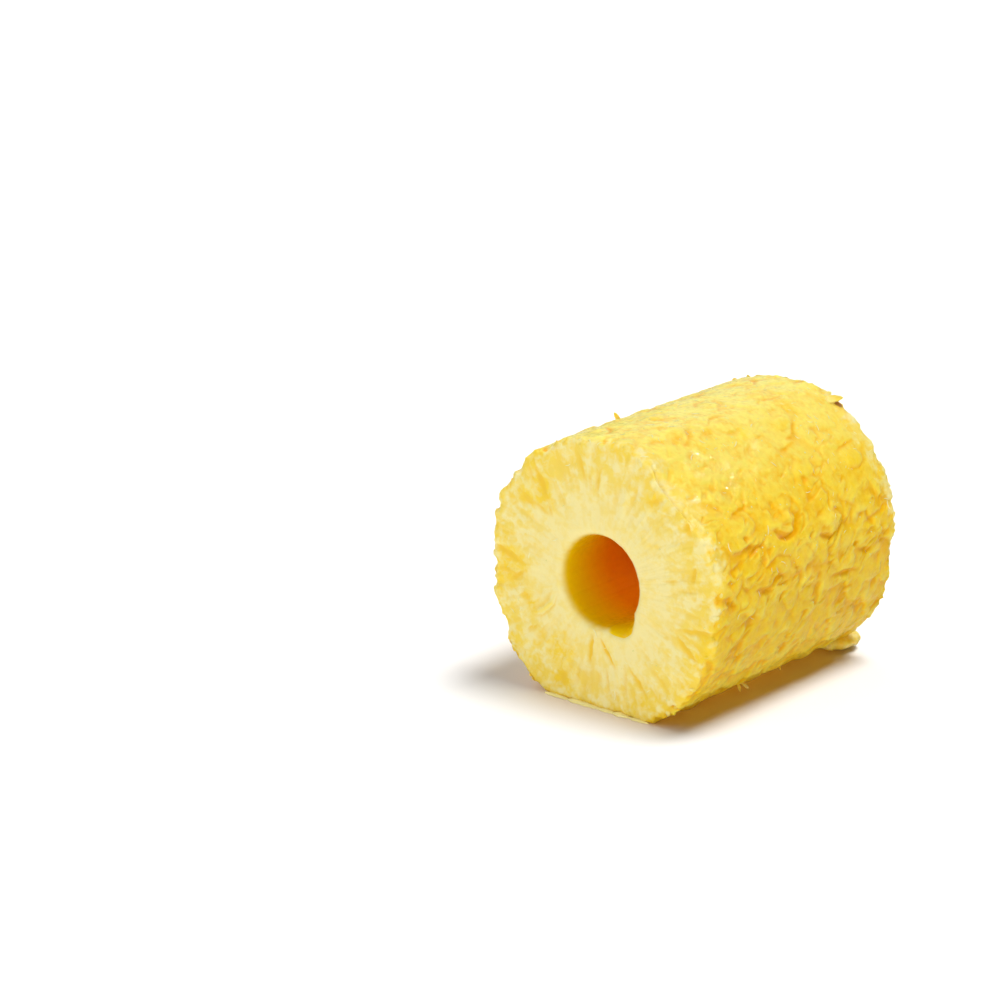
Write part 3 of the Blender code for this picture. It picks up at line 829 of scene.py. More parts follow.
@dataclass(frozen=True)
class TornSkin:
    """Where the trimmed side is torn: flakes that drop off at their lower edge, and lips.

    The block's node tree and the flesh's finish both read it, so relief and colour agree: the
    finish paints a pale highlight on lips and flake edges and golden shade in gaps.
    Lengths are metres.
    """

    turned_radius: float = 0.0480
    fibre_slant: float = 0.48
    drift: float = SEED * DRIFT
    softness: float = 0.30
    stray: float = 1.2
    lip_width: float = 0.045
    gap_offset: float = 0.085
    lip_stretch: float = 1.45

    def skin(self, graph: Graph, angle: Field, y: Field) -> Field:
        """The place on the plain turned side, shifted to the seed's part of the noise."""
        x, z = angle.cos() * self.turned_radius, angle.sin() * self.turned_radius
        return graph.join(x + self.drift, y + self.drift, z)

    def ribbon(self, graph: Graph, angle: Field, y: Field, size: float, length: float) -> Field:
        """The side as fibres see it, which wind slowly round it.

        Args:
            graph: The tree.
            angle: The angle round the axis.
            y: The place along the block.
            size: How wide one fibre is.
            length: How long one fibre is.

        Returns:
            A place in which every fibre is 1 wide and 1 long.
        """
        wound = angle - y * (self.fibre_slant / self.turned_radius)
        return graph.around(wound, self.turned_radius / size, y / length)

    def flake(self, graph: Graph, skin: Field, angle: Field, size: float) -> Field:
        """How near a place is to the lower edge of its flake.

        Args:
            graph: The tree.
            skin: The place from `skin`.
            angle: The angle round the axis.
            size: How long a flake is.

        Returns:
            About -0.5 at the flake's upper edge and 0.5 at its lower edge.
        """
        wavy = graph.plus(skin, graph.astray(skin, size, size * self.stray))
        inputs = {"Vector": wavy, "Scale": 1 / size, "Smoothness": self.softness}
        cell = graph.make("ShaderNodeTexVoronoi", inputs, "Position", feature="SMOOTH_F1")
        lean = graph.join(angle.sin() * 0.85, -0.5, angle.cos() * -0.85)
        return graph.along(graph.minus(wavy, cell), lean) / size

    def boldness(self, graph: Graph, skin: Field) -> Field:
        """How strongly the flakes stand out from place to place."""
        return (graph.uneven(skin, 0.0160, 1.0) * 1.8 + 0.75).clipped()

    def lips(
        self, graph: Graph, skin: Field, angle: Field, y: Field, size: float
    ) -> tuple[Field, Field]:
        """Winding torn edges.

        Args:
            graph: The tree.
            skin: The place from `skin`.
            angle: The angle round the axis.
            y: The place along the block.
            size: How far it is from one edge to the next.

        Returns:
            The narrow lip and the narrow gap beside it, each from 0 to 1.
        """
        ribbon = self.ribbon(graph, angle, y, size, size * self.lip_stretch)
        wave = graph.uneven(ribbon, 1.0, 1.5, 0.9)
        broken = graph.uneven(skin, size, 1.0).ramp(-0.07, 0.09)
        gap = (wave + self.gap_offset).hump(self.lip_width) * broken
        return wave.hump(self.lip_width) * broken, gap

    def low_down(self, angle: Field) -> Field:
        """How torn the side is, more so below the part that faces up."""
        return angle.sin().ramp(0.85, 0.20) * 0.65 + 0.35


@dataclass
class CoredBlock:
    """The block of flesh: a turned wall that a knife has trimmed, with a hole along it.

    Lengths are metres. A knife's cut is the way it faces, in degrees from +X towards +Z,
    and how far it lies from the hole's axis at the front and at the back. A bite is the way
    it faces, its depth, its half width and how far it reaches back. Lumps and flakes are a
    size and a height, the scallop has its reach as well, and ribs are a count, a length, a
    twist and a height.
    """

    axis: Vector
    length: float = 0.1014
    bore_radius: float = 0.0154
    turned_radius: float = 0.0480
    rim_round: float = 0.0032
    mouth_round: float = 0.0034
    corner_reach: float = 0.0520
    cut_sharpness: float = 22.0
    knife_cuts: tuple = (
        (-158, 0.0479, 0.0490),
        (180, 0.0460, 0.0482),
        (143, 0.0481, 0.0493),
        (118, 0.0492, 0.0501),
        (92, 0.0486, 0.0512),
        (48, 0.0470, 0.0530),
        (22, 0.0506, 0.0516),
        (-5, 0.0480, 0.0488),
        (-33, 0.0485, 0.0524),
        (-62, 0.0488, 0.0496),
        (-108, 0.0490, 0.0495),
    )
    rim_bites: tuple = (
        (-150, 0.0024, 0.0030, 0.0055),
        (48, 0.0024, 0.0105, 0.0110),
        (58, 0.0012, 0.0034, 0.0050),
        (170, 0.0010, 0.0036, 0.0060),
        (118, 0.0010, 0.0032, 0.0050),
        (16, 0.0008, 0.0026, 0.0040),
        (-24, 0.0009, 0.0030, 0.0050),
        (158, 0.0014, 0.0020, 0.0050),
        (183, 0.0016, 0.0018, 0.0050),
        (-168, 0.0013, 0.0016, 0.0045),
        (-132, 0.0015, 0.0022, 0.0050),
        (136, 0.0011, 0.0024, 0.0045),
    )
    swell: tuple = (0.0170, 1.0)
    swell_height: float = 0.0012
    lumps: tuple = ((0.0062, 0.0008), (0.0030, 0.0002))
    scallop: tuple = (0.0036, 0.0038, 0.0050)
    torn: TornSkin = TornSkin()
    flakes: tuple = ((0.0086, 0.00105), (0.0040, 0.00010))
    lip_spacing: float = 0.0075
    lip_height: float = 0.00035
    gap_depth: float = 0.0006
    fibre_size: tuple[float, float] = (0.0032, 0.0100)
    ribs: tuple = ((19.0, 0.0110, 0.4, 0.0009), (5.5, 0.0150, 0.6, 0.0016))
    mark_wobble: tuple[float, float] = (0.0022, 0.0014)
    end_reach: float = 0.0040
    notch_angle: float = math.radians(-53)
    notch_half_angle: float = math.radians(25)
    notch_depth: float = 0.0034
    notch_reach: float = 0.0100
    notch_inside: float = 0.0120
    turns: int = 432
    front_steps: int = 46
    side_steps: int = 136
    back_steps: int = 26
    bore_steps: int = 22
    rim_crowding: float = 0.30
    side_crowding: float = 0.35
    fine_angle: float = math.radians(22)

    def build(self, marks: Marks, finish: bpy.types.Material) -> bpy.types.Object:
        """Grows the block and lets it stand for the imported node.

        Args:
            marks: The furrows, hearts and stains.
            finish: The flesh's material.

        Returns:
            The block.
        """
        guides = {
            "Furrows": marks.stroke_guide(),
            "Hearts": marks.heart_guide(),
            "Stains": marks.stain_guide(),
        }
        settings = {
            "Length": self.length,
            "Bore Radius": self.bore_radius,
            "Turned Radius": self.turned_radius,
            "Rim Round": self.rim_round,
            "Axis X": self.axis.x,
            "Middle Y": self.axis.y,
            "Axis Height": self.axis.z,
            "Seed": SEED,
            "Finish": finish,
        }
        block = grown("cored_block", self.tree(), settings | guides)
        for guide in guides.values():
            bpy.data.objects.remove(guide, do_unlink=True)
        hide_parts("flesh")
        return block

    def knife_radius(self, angle: Field, along: Field) -> Field:
        """How far the trimmed side lies from the axis, where along runs from 0 to 1."""
        total: Field | float = (1 / self.corner_reach) ** self.cut_sharpness
        for facing, front, back in self.knife_cuts:
            cosine = (angle - math.radians(facing)).cos().math("MAXIMUM", 0.0)
            total = (cosine / (along * (back - front) + front)) ** self.cut_sharpness + total
        return total ** (-1 / self.cut_sharpness)

    def bites(self, angle: Field, from_front: Field) -> Field:
        """Depth of the bites out of the front rim."""
        depth: Field | float = 0.0
        for facing, deep, half_width, reach in self.rim_bites:
            across = (angle - math.radians(facing)).within_half_turn() * self.turned_radius
            bite = (across * across).hump(half_width**2) * from_front.hump(reach)
            depth = bite * deep + depth
        return depth

    def tree(self) -> Graph:
        """The node tree that makes the block from its named sizes."""
        graph = Graph.group("cored_block", "GeometryNodeTree")
        length, bore, turned, rim_round, axis_x, middle_y, height = graph.takes_each(
            "Float", "Length", "Bore Radius", "Turned Radius", "Rim Round", "Axis X",
            "Middle Y", "Axis Height",
        )
        furrows, hearts, stains = graph.takes_each("Object", "Furrows", "Hearts", "Stains")
        seed, finish = graph.takes("Seed", "Int"), graph.takes("Finish", "Material")

        steps = self.front_steps + self.side_steps + self.back_steps + self.bore_steps
        counts = {"Vertices X": self.turns + 1, "Vertices Y": steps + 1}
        sheet = graph.make("GeometryNodeMeshGrid", {"Size X": 1.0, "Size Y": 1.0} | counts)
        angle, share, along = self.profile(graph, steps)
        cos, sin = angle.cos(), angle.sin()
        wall = turned - bore
        distance = bore + share * wall
        y = (along - 0.5) * length
        drift = seed * DRIFT
        plain = graph.join(distance * cos, y, distance * sin)
        place = graph.plus(plain, graph.join(drift, drift, 0.0))

        side = share.ramp(0.9, 1.0)
        inner = 1.0 - share.ramp(0.0, 0.3)
        from_front = y + length * 0.5
        from_end = length * 0.5 - y.math("ABSOLUTE")
        on_end = (1.0 - from_end / self.end_reach).clipped()
        from_rim = (1.0 - share) * wall
        trimmed = self.knife_radius(angle, along)
        on_side = share.math("GREATER_THAN", 0.999)
        off_side = 1.0 - on_side
        in_hole = share.math("LESS_THAN", 0.001)

        level = bore + share * (trimmed - bore)
        reach = level + on_side * (turned - level)
        wobble = graph.astray(place, *self.mark_wobble)
        probe = graph.plus(graph.join(reach * cos, y, reach * sin), wobble)
        furrow, painted_crease_shade = self.furrow_relief(graph, furrows, probe)
        heart, heart_shade_and_highlight = self.heart_relief(graph, hearts, probe, angle, y)
        stain = self.stain_mask(graph, stains, probe)

        swell = graph.uneven(place, *self.swell) * self.swell_height
        lumps = sum(graph.uneven(place, size, 1.0) * high for size, high in self.lumps)
        low_down = self.torn.low_down(angle)
        torn = self.torn_relief(graph, angle, y) * low_down
        fine = torn + lumps * low_down + self.side_fibres(graph, angle, y) - furrow
        size, high, near = self.scallop
        scallop = graph.uneven(place, size, 2.0) * high * from_end.ramp(near, 0.0)
        relief = side * (heart + swell + scallop + fine) - self.bites(angle, from_front)

        to_floor = height / (sin * -1.0).math("MAXIMUM", 0.1)
        outer = (trimmed + side * relief).math("MINIMUM", to_floor)
        notch = self.notch(angle, from_front)
        hole = bore + (notch + self.bore_lines(graph, angle, y)) * inner
        rim = self.corner(on_side * from_end + off_side * from_rim, rim_round)
        to_mouth = in_hole * from_end + (1.0 - in_hole) * (distance - bore)
        mouth = self.corner(to_mouth, self.mouth_round)
        moved = hole + share * (outer - bore) + mouth - rim

        ribs = self.end_ribs(graph, angle, distance)
        sunk = furrow * 0.7 - ribs - (swell + lumps) * 0.5
        sunk = sunk * share.ramp(0.0, 0.12) * on_end + rim + mouth
        shifted = y - y.math("SIGN") * sunk

        wedge = notch / self.notch_depth
        inside = from_end * (1.0 - wedge) + wedge * self.notch_inside
        # The furrow attribute paints shade in furrows and heart gaps, and below 0 a highlight on
        # their lips.
        flow = graph.stored(
            sheet,
            inland=from_end * on_side - from_rim * off_side,
            bore_depth=in_hole * inside - share * wall,
            furrow=painted_crease_shade + heart_shade_and_highlight * on_side,
            relief=on_side * (fine + heart * 0.2) + off_side * (ribs - furrow),
            stain=stain,
        )
        target = graph.join(axis_x + moved * cos, middle_y + shifted, height + moved * sin)
        flow = graph.moved(flow, target)
        inputs = {"Geometry": flow, "Distance": 0.00001}
        flow = graph.make("GeometryNodeMergeByDistance", inputs)
        return graph.ends(graph.make("GeometryNodeFlipFaces", {"Mesh": flow}), finish)

    def profile(self, graph: Graph, steps: int) -> tuple[Field, Field, Field]:
        """Where the points of a flat sheet go on the block.

        The sheet runs out over the front end, back along the side, in over the back end and
        through the hole to the front again.

        Args:
            graph: The tree.
            steps: How many faces the sheet has that way.

        Returns:
            The angle round the axis, the share of the way out through the wall and the
            share of the way from the front to the back.
        """
        u, v, _ = graph.split(graph.here())
        turn = (u + 0.5) * FULL_TURN
        angle = turn - (turn - self.fine_angle).sin() * self.side_crowding
        step = (v + 0.5) * steps
        rise = self.crowded_ends((step / self.front_steps).clipped())
        run = self.crowded_ends(((step - self.front_steps) / self.side_steps).clipped())
        to_back = self.front_steps + self.side_steps
        fall = self.crowded_ends(((step - to_back) / self.back_steps).clipped())
        back_in = ((step - (steps - self.bore_steps)) / self.bore_steps).clipped()
        back_in = (back_in * math.pi).cos() * -0.5 + 0.5
        return angle, rise - fall, run - back_in

    def corner(self, away: Field, size: "Field | float") -> Field:
        """How far a corner is drawn in both ways, so that its two sides meet at 45 degrees."""
        near = (1.0 - away / size).clipped()
        return near * near * size * 0.25

    def crowded_ends(self, share: Field) -> Field:
        """Steps from 0 to 1 that are finer at both ends."""
        return share - (share * FULL_TURN).sin() * (self.rim_crowding / FULL_TURN)

    def furrow_relief(self, graph: Graph, guide: Field, probe: Field) -> tuple[Field, Field]:
        """Furrows with one steep wall, a low lip over it and a gentle slope below.

        Args:
            graph: The tree.
            guide: The guide object.
            probe: Where the furrows are looked for.

        Returns:
            The depth in metres, and how strongly each place lies in a furrow, where the finish
            paints shade, below 0 on the lip, where it paints a highlight.
        """
        near = Nearest(graph, guide, probe)
        deep, wide = near.number("deep"), near.number("wide")
        uphill = graph.along(near.offset, near.vector("uphill"))
        reach = wide * (uphill.ramp(0.0, -0.0012) * 1.1 + 0.75)
        lip = (near.away - wide * 1.8).hump(wide * 0.8) * uphill.ramp(0.0, 0.0008)
        height = deep * (near.away.hump(reach) * 0.55 - lip * 0.08)
        return height, deep / near.number("full") * (near.away.hump(wide * 1.25) - lip * 0.8)

    def heart_relief(
        self, graph: Graph, guide: Field, probe: Field, angle: Field, y: Field
    ) -> tuple[Field, Field]:
        """Domed hearts with a lip on their upper side and a gap below, painted pale as a highlight
        on the lip and golden as shade in the gap.

        Args:
            graph: The tree.
            guide: The guide object.
            probe: Where the hearts are looked for.
            angle: The angle round the axis.
            y: The place along the block.

        Returns:
            The height in metres, and how far each place is painted shade in the gap, below 0 for a
            painted highlight on the lip.
        """
        near = Nearest(graph, guide, probe)
        up = (angle - near.number("facing")).within_half_turn() * self.turned_radius
        up = up / near.number("half_up")
        across = (y - near.number("along")) / near.number("half_along")
        ragged = graph.uneven(probe, 0.0045, 1.0) * 0.35
        reach = (up * up + across * across).math("SQRT") + ragged
        dome = (1.0 - reach * reach).clipped() ** 0.7
        edge = (reach - 1.05).hump(0.20)
        facing = up * 0.8 - across * 0.6
        lip = edge * facing.ramp(-0.1, 0.7)
        gap = edge * facing.ramp(0.2, -0.6)
        rise = near.number("rise")
        height = rise * (dome * 0.0008 + lip * 0.0002 - gap * 0.0004)
        return height, rise * (gap * 0.8 - lip * 0.5)

    def stain_mask(self, graph: Graph, guide: Field, probe: Field) -> Field:
        """How strongly each place lies in a deeper yellow patch."""
        near = Nearest(graph, guide, probe)
        reach = (near.number("half_across") + near.number("half_up")) * 0.62
        return near.number("strength") * near.away.hump(reach)

    def torn_relief(self, graph: Graph, angle: Field, y: Field) -> Field:
        """Height of the flakes and of the winding torn edges."""
        skin = self.torn.skin(graph, angle, y)
        flakes = sum(self.torn.flake(graph, skin, angle, size) * high for size, high in self.flakes)
        lip, gap = self.torn.lips(graph, skin, angle, y, self.lip_spacing)
        flakes = flakes * self.torn.boldness(graph, skin)
        return flakes + lip * self.lip_height - gap * self.gap_depth

    def side_fibres(self, graph: Graph, angle: Field, y: Field) -> Field:
        """Low ridges along the side that wind slowly round it."""
        ribbon = self.torn.ribbon(graph, angle, y, *self.fibre_size)
        low_down = angle.sin().ramp(0.35, -0.25)
        return graph.uneven(ribbon, 1.0, 1.5, 0.6) * (low_down * 0.0002 + 0.00008)

    def end_ribs(self, graph: Graph, angle: Field, distance: Field) -> Field:
        """Height of the ribs that run outwards over a cut end."""
        total: Field | float = 0.0
        for count, length, twist, high in self.ribs:
            place = graph.around(angle, count, distance / length)
            total = graph.uneven(place, 1.0, 1.0, twist) * high + total
        outwards = distance.ramp(self.bore_radius, self.turned_radius * 0.85)
        return total * (outwards * 0.85 + 0.15)

    def bore_lines(self, graph: Graph, angle: Field, y: Field) -> Field:
        """Faint lines that the corer leaves along the hole."""
        return graph.uneven(graph.around(angle, 9.0, y / 0.040), 1.0, 2.0) * 0.0004

    def notch(self, angle: Field, from_front: Field) -> Field:
        """How far the broken wedge at the hole's mouth cuts outwards."""
        across = (angle - self.notch_angle).within_half_turn().math("ABSOLUTE")
        across = across / self.notch_half_angle
        inwards = (1.0 - from_front / self.notch_reach).clipped()
        return ((1.0 - across) * 1.25).clipped() * inwards * self.notch_depth


@dataclass(frozen=True)
class FleshColours:
    """The flesh's colours as an eye sees them in soft light, several of them painted light and
    shade.
    """

    cream: tuple = srgb(252, 233, 160)
    end_yellow: tuple = srgb(250, 218, 90)
    # Golden of the furrows on the cut ends: partly the fruitlets' own lines, partly painted crease
    # shade.
    end_line: tuple = srgb(247, 204, 60)
    # Painted light: the paler yellow of the side's top, where the light falls.
    upper: tuple = srgb(254, 237, 118)
    light: tuple = srgb(254, 209, 24)
    deep: tuple = srgb(249, 192, 6)
    # Painted highlight: the pale of lips and ridges, where light falls on them.
    lip: tuple = srgb(255, 226, 84)
    # Pale of loose fibres: their own colour, paled further as a painted highlight so that they read
    # as glints.
    fibre: tuple = srgb(255, 248, 196)
    # Painted shade: the golden of furrows, gaps and low ground on the side.
    painted_crease_shade: tuple = srgb(248, 182, 0)
    stain: tuple = srgb(253, 212, 40)
    # Dark brown-orange of a spot just below the flap.
    dark_spot: tuple = srgb(168, 104, 14)
    bore: tuple = srgb(255, 219, 6)
    # Painted shade: the orange that the hole's wall turns the deeper it goes.
    bore_painted_shade: tuple = srgb(244, 154, 2)
    # Painted light: an orange glow deep in the hole, which stands in for light carried through the
    # flesh.
    glow: tuple = srgb(255, 70, 0)
    no_painted_glow: tuple = (0.0, 0.0, 0.0, 1.0)


class PulpGrain:
    """The soft unevenness of pulp and juice, a shader group that every finish uses."""

    def __init__(self) -> None:
        """Builds the group once."""
        graph = Graph.group("pulp_grain", "ShaderNodeTree")
        place = graph.takes("Place", "Vector")
        size, detail, twist = graph.takes_each("Float", "Size", "Detail", "Twist")
        graph.gives(grain=graph.noise(place, size ** -1.0, detail, twist) - 0.5)
        self.tree = graph.tree

    def at(
        self, graph: Graph, place: Field, size: float, detail: float = 2.0, twist: float = 0.0
    ) -> Field:
        """Places the group in a material.

        Args:
            graph: The material's tree.
            place: Where it is read, in metres.
            size: How long one of its lumps is.
            detail: How many finer layers it has.
            twist: How far it is distorted.

        Returns:
            The unevenness, from about -0.5 to 0.5.
        """
        inputs = {"Place": place, "Size": size, "Detail": detail, "Twist": twist}
        return graph.make("ShaderNodeGroup", inputs, node_tree=self.tree)


@dataclass
class FleshTones:
    """A shader group with the flesh's colour, wetness and fine relief.

    Pale at the cut ends, deep yellow on the side, orange in the hole, where painted shade deepens
    inwards and a painted glow shows. Lengths are metres.
    A pair of lengths is where a change starts and where it is full.
    """

    axis: Vector
    grain: PulpGrain
    torn: TornSkin = TornSkin()
    lip_spacing: float = CoredBlock.lip_spacing
    flake_size: float = CoredBlock.flakes[0][0]
    small_flake: float = CoredBlock.flakes[1][0]
    colours: FleshColours = FleshColours()
    mottle_size: float = 0.0055
    lobe_size: float = 0.0085
    pulp_size: float = 0.0026
    fleck_size: float = 0.0016
    grain_size: float = 0.0007
    streak: tuple[float, float] = (13.0, 0.011)
    end_spans: tuple[float, float] = (0.018, 0.046)
    end_pales: tuple[float, float] = (0.0034, -0.0010)
    # Painted shade on low ground and painted light on high ground of the relief: where each starts
    # and where it is full.
    shaded_low_ground: tuple[float, float] = (0.00005, -0.00050)
    lit_high_ground: tuple[float, float] = (0.00010, 0.00055)
    pale_fibre_and_glint: tuple[float, float] = (0.0020, 0.0035)
    bore_starts: tuple[float, float] = (-0.0012, 0.0036)
    # Where the hole's painted shade and painted glow start and are full.
    bore_deepens: tuple[float, float] = (0.004, 0.028)
    painted_glow_grows: tuple[float, float] = (0.0, 0.022)

    def build(self) -> bpy.types.NodeTree:
        """Builds the group once."""
        graph = Graph.group("flesh_tones", "ShaderNodeTree")
        place = graph.takes("Place", "Vector")
        inland, bore_depth, mark, relief, patch = graph.takes_each(
            "Float", "Inland", "Bore Depth", "Furrow", "Relief", "Stain"
        )
        axis_x = graph.takes("Axis X", "Float", self.axis.x)
        middle_y = graph.takes("Middle Y", "Float", self.axis.y)
        axis_height = graph.takes("Axis Height", "Float", self.axis.z)

        x, y, z = graph.split(place)
        across, up = x - axis_x, z - axis_height
        angle = up.math("ARCTAN2", across)
        distance = (across * across + up * up).math("SQRT")
        at = self.grain.at
        mottle = at(graph, place, self.mottle_size, 3.0, 0.4)
        fleck = at(graph, place, self.fleck_size)
        grain = at(graph, place, self.grain_size)
        pulp = at(graph, place, self.pulp_size, 2.0, 0.6)
        lobes = at(graph, place, self.lobe_size, 2.0, 0.8)
        count, length = self.streak
        streak = at(graph, graph.around(angle, count, distance / length), 1.0, 4.0, 0.5)
        outwards = distance.ramp(*self.end_spans)
        # Painted shade and light: low ground of the relief is painted deeper yellow and golden,
        # high ground pale.
        low, high = relief.ramp(*self.shaded_low_ground), relief.ramp(*self.lit_high_ground)
        furrow, ridge = mark.clipped(), (mark * -1.0).clipped()

        upper_right = (angle - 0.80).hump(0.62)
        edge = inland + lobes * (upper_right * 0.016 + 0.010) + fleck * 0.004
        pale = (edge - upper_right * 0.0058 + 0.0016).ramp(*self.end_pales)
        on_side = 1.0 - pale
        on_y = y - middle_y
        skin = self.torn.skin(graph, angle, on_y)
        raised, sunk = self.torn_tones(graph, skin, angle, on_y)
        raised, sunk = raised * on_side, sunk * on_side

        c = self.colours
        # Painted light: the side is paler and less deep yellow towards its top, where the light
        # falls.
        top = (angle - 1.60).within_half_turn().hump(0.95)
        base = self.mix(graph, (top + mottle * 0.8).clipped(), c.light, c.upper)
        share = mottle * 2.0 + pulp * 1.5 + fleck * 0.7 + grain * 0.3
        share = share + low * 0.30 + 0.28 - top * 0.22
        side = self.mix(graph, share.clipped(), base, c.deep)
        share = streak * 1.5 + mottle * 3.2 + pulp * 2.4 + fleck * 0.9
        share = (share + outwards * 0.35 + low * 0.6 + 0.20).clipped()
        end = self.mix(graph, share * (outwards * 0.6 + 0.4), c.cream, c.end_yellow)
        colour = self.mix(graph, pale, side, end)
        # Painted highlight: lips, ridges and high ground turn pale where light falls on them.
        painted_ridge_highlight = (high * 0.30 + ridge * 0.5 + raised).clipped()
        colour = self.mix(graph, painted_ridge_highlight * 0.70, colour, c.lip)
        stain = (patch * (pulp * 3.0 + streak * 2.0 + 0.95)).clipped()
        colour = self.mix(graph, stain * 0.8, colour, c.stain)
        # A dark brown-orange spot where a stain is strongest, just below the flap.
        dark_spot = (patch * 2.0 - 2.0).clipped()
        colour = self.mix(graph, dark_spot, colour, c.dark_spot)
        # Painted shade: furrows, low ground and the gaps of torn flakes turn golden, where shade
        # falls.
        golden = self.mix(graph, pale, c.painted_crease_shade, c.end_line)
        painted_hollow_shade = (furrow * 0.85 + low * 0.30 + sunk * 0.6).clipped()
        colour = self.mix(graph, painted_hollow_shade, colour, golden)
        # Loose threads turn pale: partly their own colour, partly a painted highlight that reads as
        # glints.
        colour = self.mix(graph, relief.ramp(*self.pale_fibre_and_glint) * 0.8, colour, c.fibre)
        # Painted shade and painted glow: the hole turns orange and glows the deeper it goes.
        in_bore = bore_depth.ramp(*self.bore_starts)
        bore = self.mix(graph, bore_depth.ramp(*self.bore_deepens), c.bore, c.bore_painted_shade)
        colour = self.mix(graph, in_bore, colour, bore)
        glow = self.mix(graph, in_bore * bore_depth.ramp(*self.painted_glow_grows), c.no_painted_glow, c.glow)

        height = grain * 0.00003 + fleck * 0.00008 + streak * pale * 0.0002
        graph.gives(
            colour=colour,
            glow=glow,
            height=height + (raised - sunk) * 0.00012,
            roughness=(fleck * 0.3 + 0.42).clipped(),
            wetness=(fleck * 2.2 + 0.26).clipped(),
        )
        return graph.tree

    def torn_tones(
        self, graph: Graph, skin: Field, angle: Field, y: Field
    ) -> tuple[Field, Field]:
        """How far a place of the side is a lip, painted as a pale highlight, and how far a gap,
        painted as golden shade, from 0 to 1.
        """
        flake = self.torn.flake(graph, skin, angle, self.flake_size)
        small = self.torn.flake(graph, skin, angle, self.small_flake)
        bold = self.torn.boldness(graph, skin)
        lip, gap = self.torn.lips(graph, skin, angle, y, self.lip_spacing)
        fine_lip, fine_gap = self.torn.lips(graph, skin, angle, y, self.lip_spacing * 0.55)
        raised = (flake.ramp(0.10, 0.45) * 0.5 + small.ramp(0.10, 0.45) * 0.2) * bold
        sunk = (flake.ramp(-0.12, -0.45) * 0.8 + small.ramp(-0.15, -0.45) * 0.2) * bold
        low_down = self.torn.low_down(angle)
        raised = (raised + lip * 0.8 + fine_lip * 0.3) * low_down
        sunk = (sunk + gap * 0.8 + fine_gap * 0.3) * low_down
        return raised.clipped(), sunk.clipped()

    def mix(self, graph: Graph, share: Field, first: object, second: object) -> Field:
        """A colour between two, where a share of 0 gives the first.

        Args:
            graph: The group's tree.
            share: How much of the second colour there is.
            first: A colour, plain or as a field.
            second: A colour, plain or as a field.

        Returns:
            The mixed colour.
        """
        node = graph.add("ShaderNodeMix", {0: share, 6: first, 7: second}, data_type="RGBA")
        return Field(node.outputs[2])


@dataclass
class FleshFinish:
    """Wet fruit flesh, which light enters far where it is thick and hardly where it is thin."""

    tones: bpy.types.NodeTree
    name: str = FLESH_FINISH
    depth_of_light: float = 0.0045
    light_inside: float = 0.42
    light_spread: tuple[float, float, float] = (1.0, 0.9, 0.7)
    refraction: float = 1.36
    gloss: float = 0.18
    coat_roughness: float = 0.12
    # Strength of the painted glow deep in the hole.
    painted_glow_strength: float = 0.042

    def build(self) -> bpy.types.Material:
        """Makes the material."""
        material, graph = new_finish(self.name)
        values = {"Place": graph.make("ShaderNodeTexCoord", output="Object")}
        for name in ("inland", "bore_depth", "furrow", "relief", "stain"):
            number = graph.make("ShaderNodeAttribute", output="Fac", attribute_name=name)
            values[name.replace("_", " ").title()] = number
        tones = graph.add("ShaderNodeGroup", values, node_tree=self.tones).outputs
        inputs = {"Height": Field(tones["Height"]), "Distance": 1.0}
        graph.shade({
            "Normal": graph.make("ShaderNodeBump", inputs),
            "Base Color": Field(tones["Colour"]),
            # The emission is the painted glow deep in the hole.
            "Emission Color": Field(tones["Glow"]),
            "Roughness": Field(tones["Roughness"]),
            "Coat Weight": Field(tones["Wetness"]),
            "Emission Strength": self.painted_glow_strength,
            "Specular IOR Level": self.gloss,
            "Coat Roughness": self.coat_roughness,
            "Coat IOR": self.refraction,
            "IOR": self.refraction,
            "Subsurface Weight": self.light_inside,
            "Subsurface Radius": self.light_spread,
            "Subsurface Scale": self.depth_of_light,
        })
        return material


class Surface:
    """Looks up places on the finished block."""

    def __init__(self, block: bpy.types.Object, axis: Vector) -> None:
        """Keeps the block's faces for rays.

        Args:
            block: The finished block.
            axis: The middle of the hole.
        """
        mesh = block.data
        points = [vertex.co for vertex in mesh.vertices]
        self.tree = BVHTree.FromPolygons(points, [tuple(face.vertices) for face in mesh.polygons])
        self.axis = axis

    def on_side(self, degrees: float, along: float) -> tuple[Vector, Vector]:
        """A place on the side and the way it faces.

        Args:
            degrees: The angle round the axis, from +X towards +Z.
            along: Metres along Y from the block's middle.

        Returns:
            The place and the unit vector away from the axis.
        """
        angle = math.radians(degrees)
        outwards = Vector((math.cos(angle), 0.0, math.sin(angle)))
        start = self.axis + Vector((0.0, along, 0.0)) + outwards * 0.1
        place, _, _, _ = self.tree.ray_cast(start, -outwards)
        return place, outwards


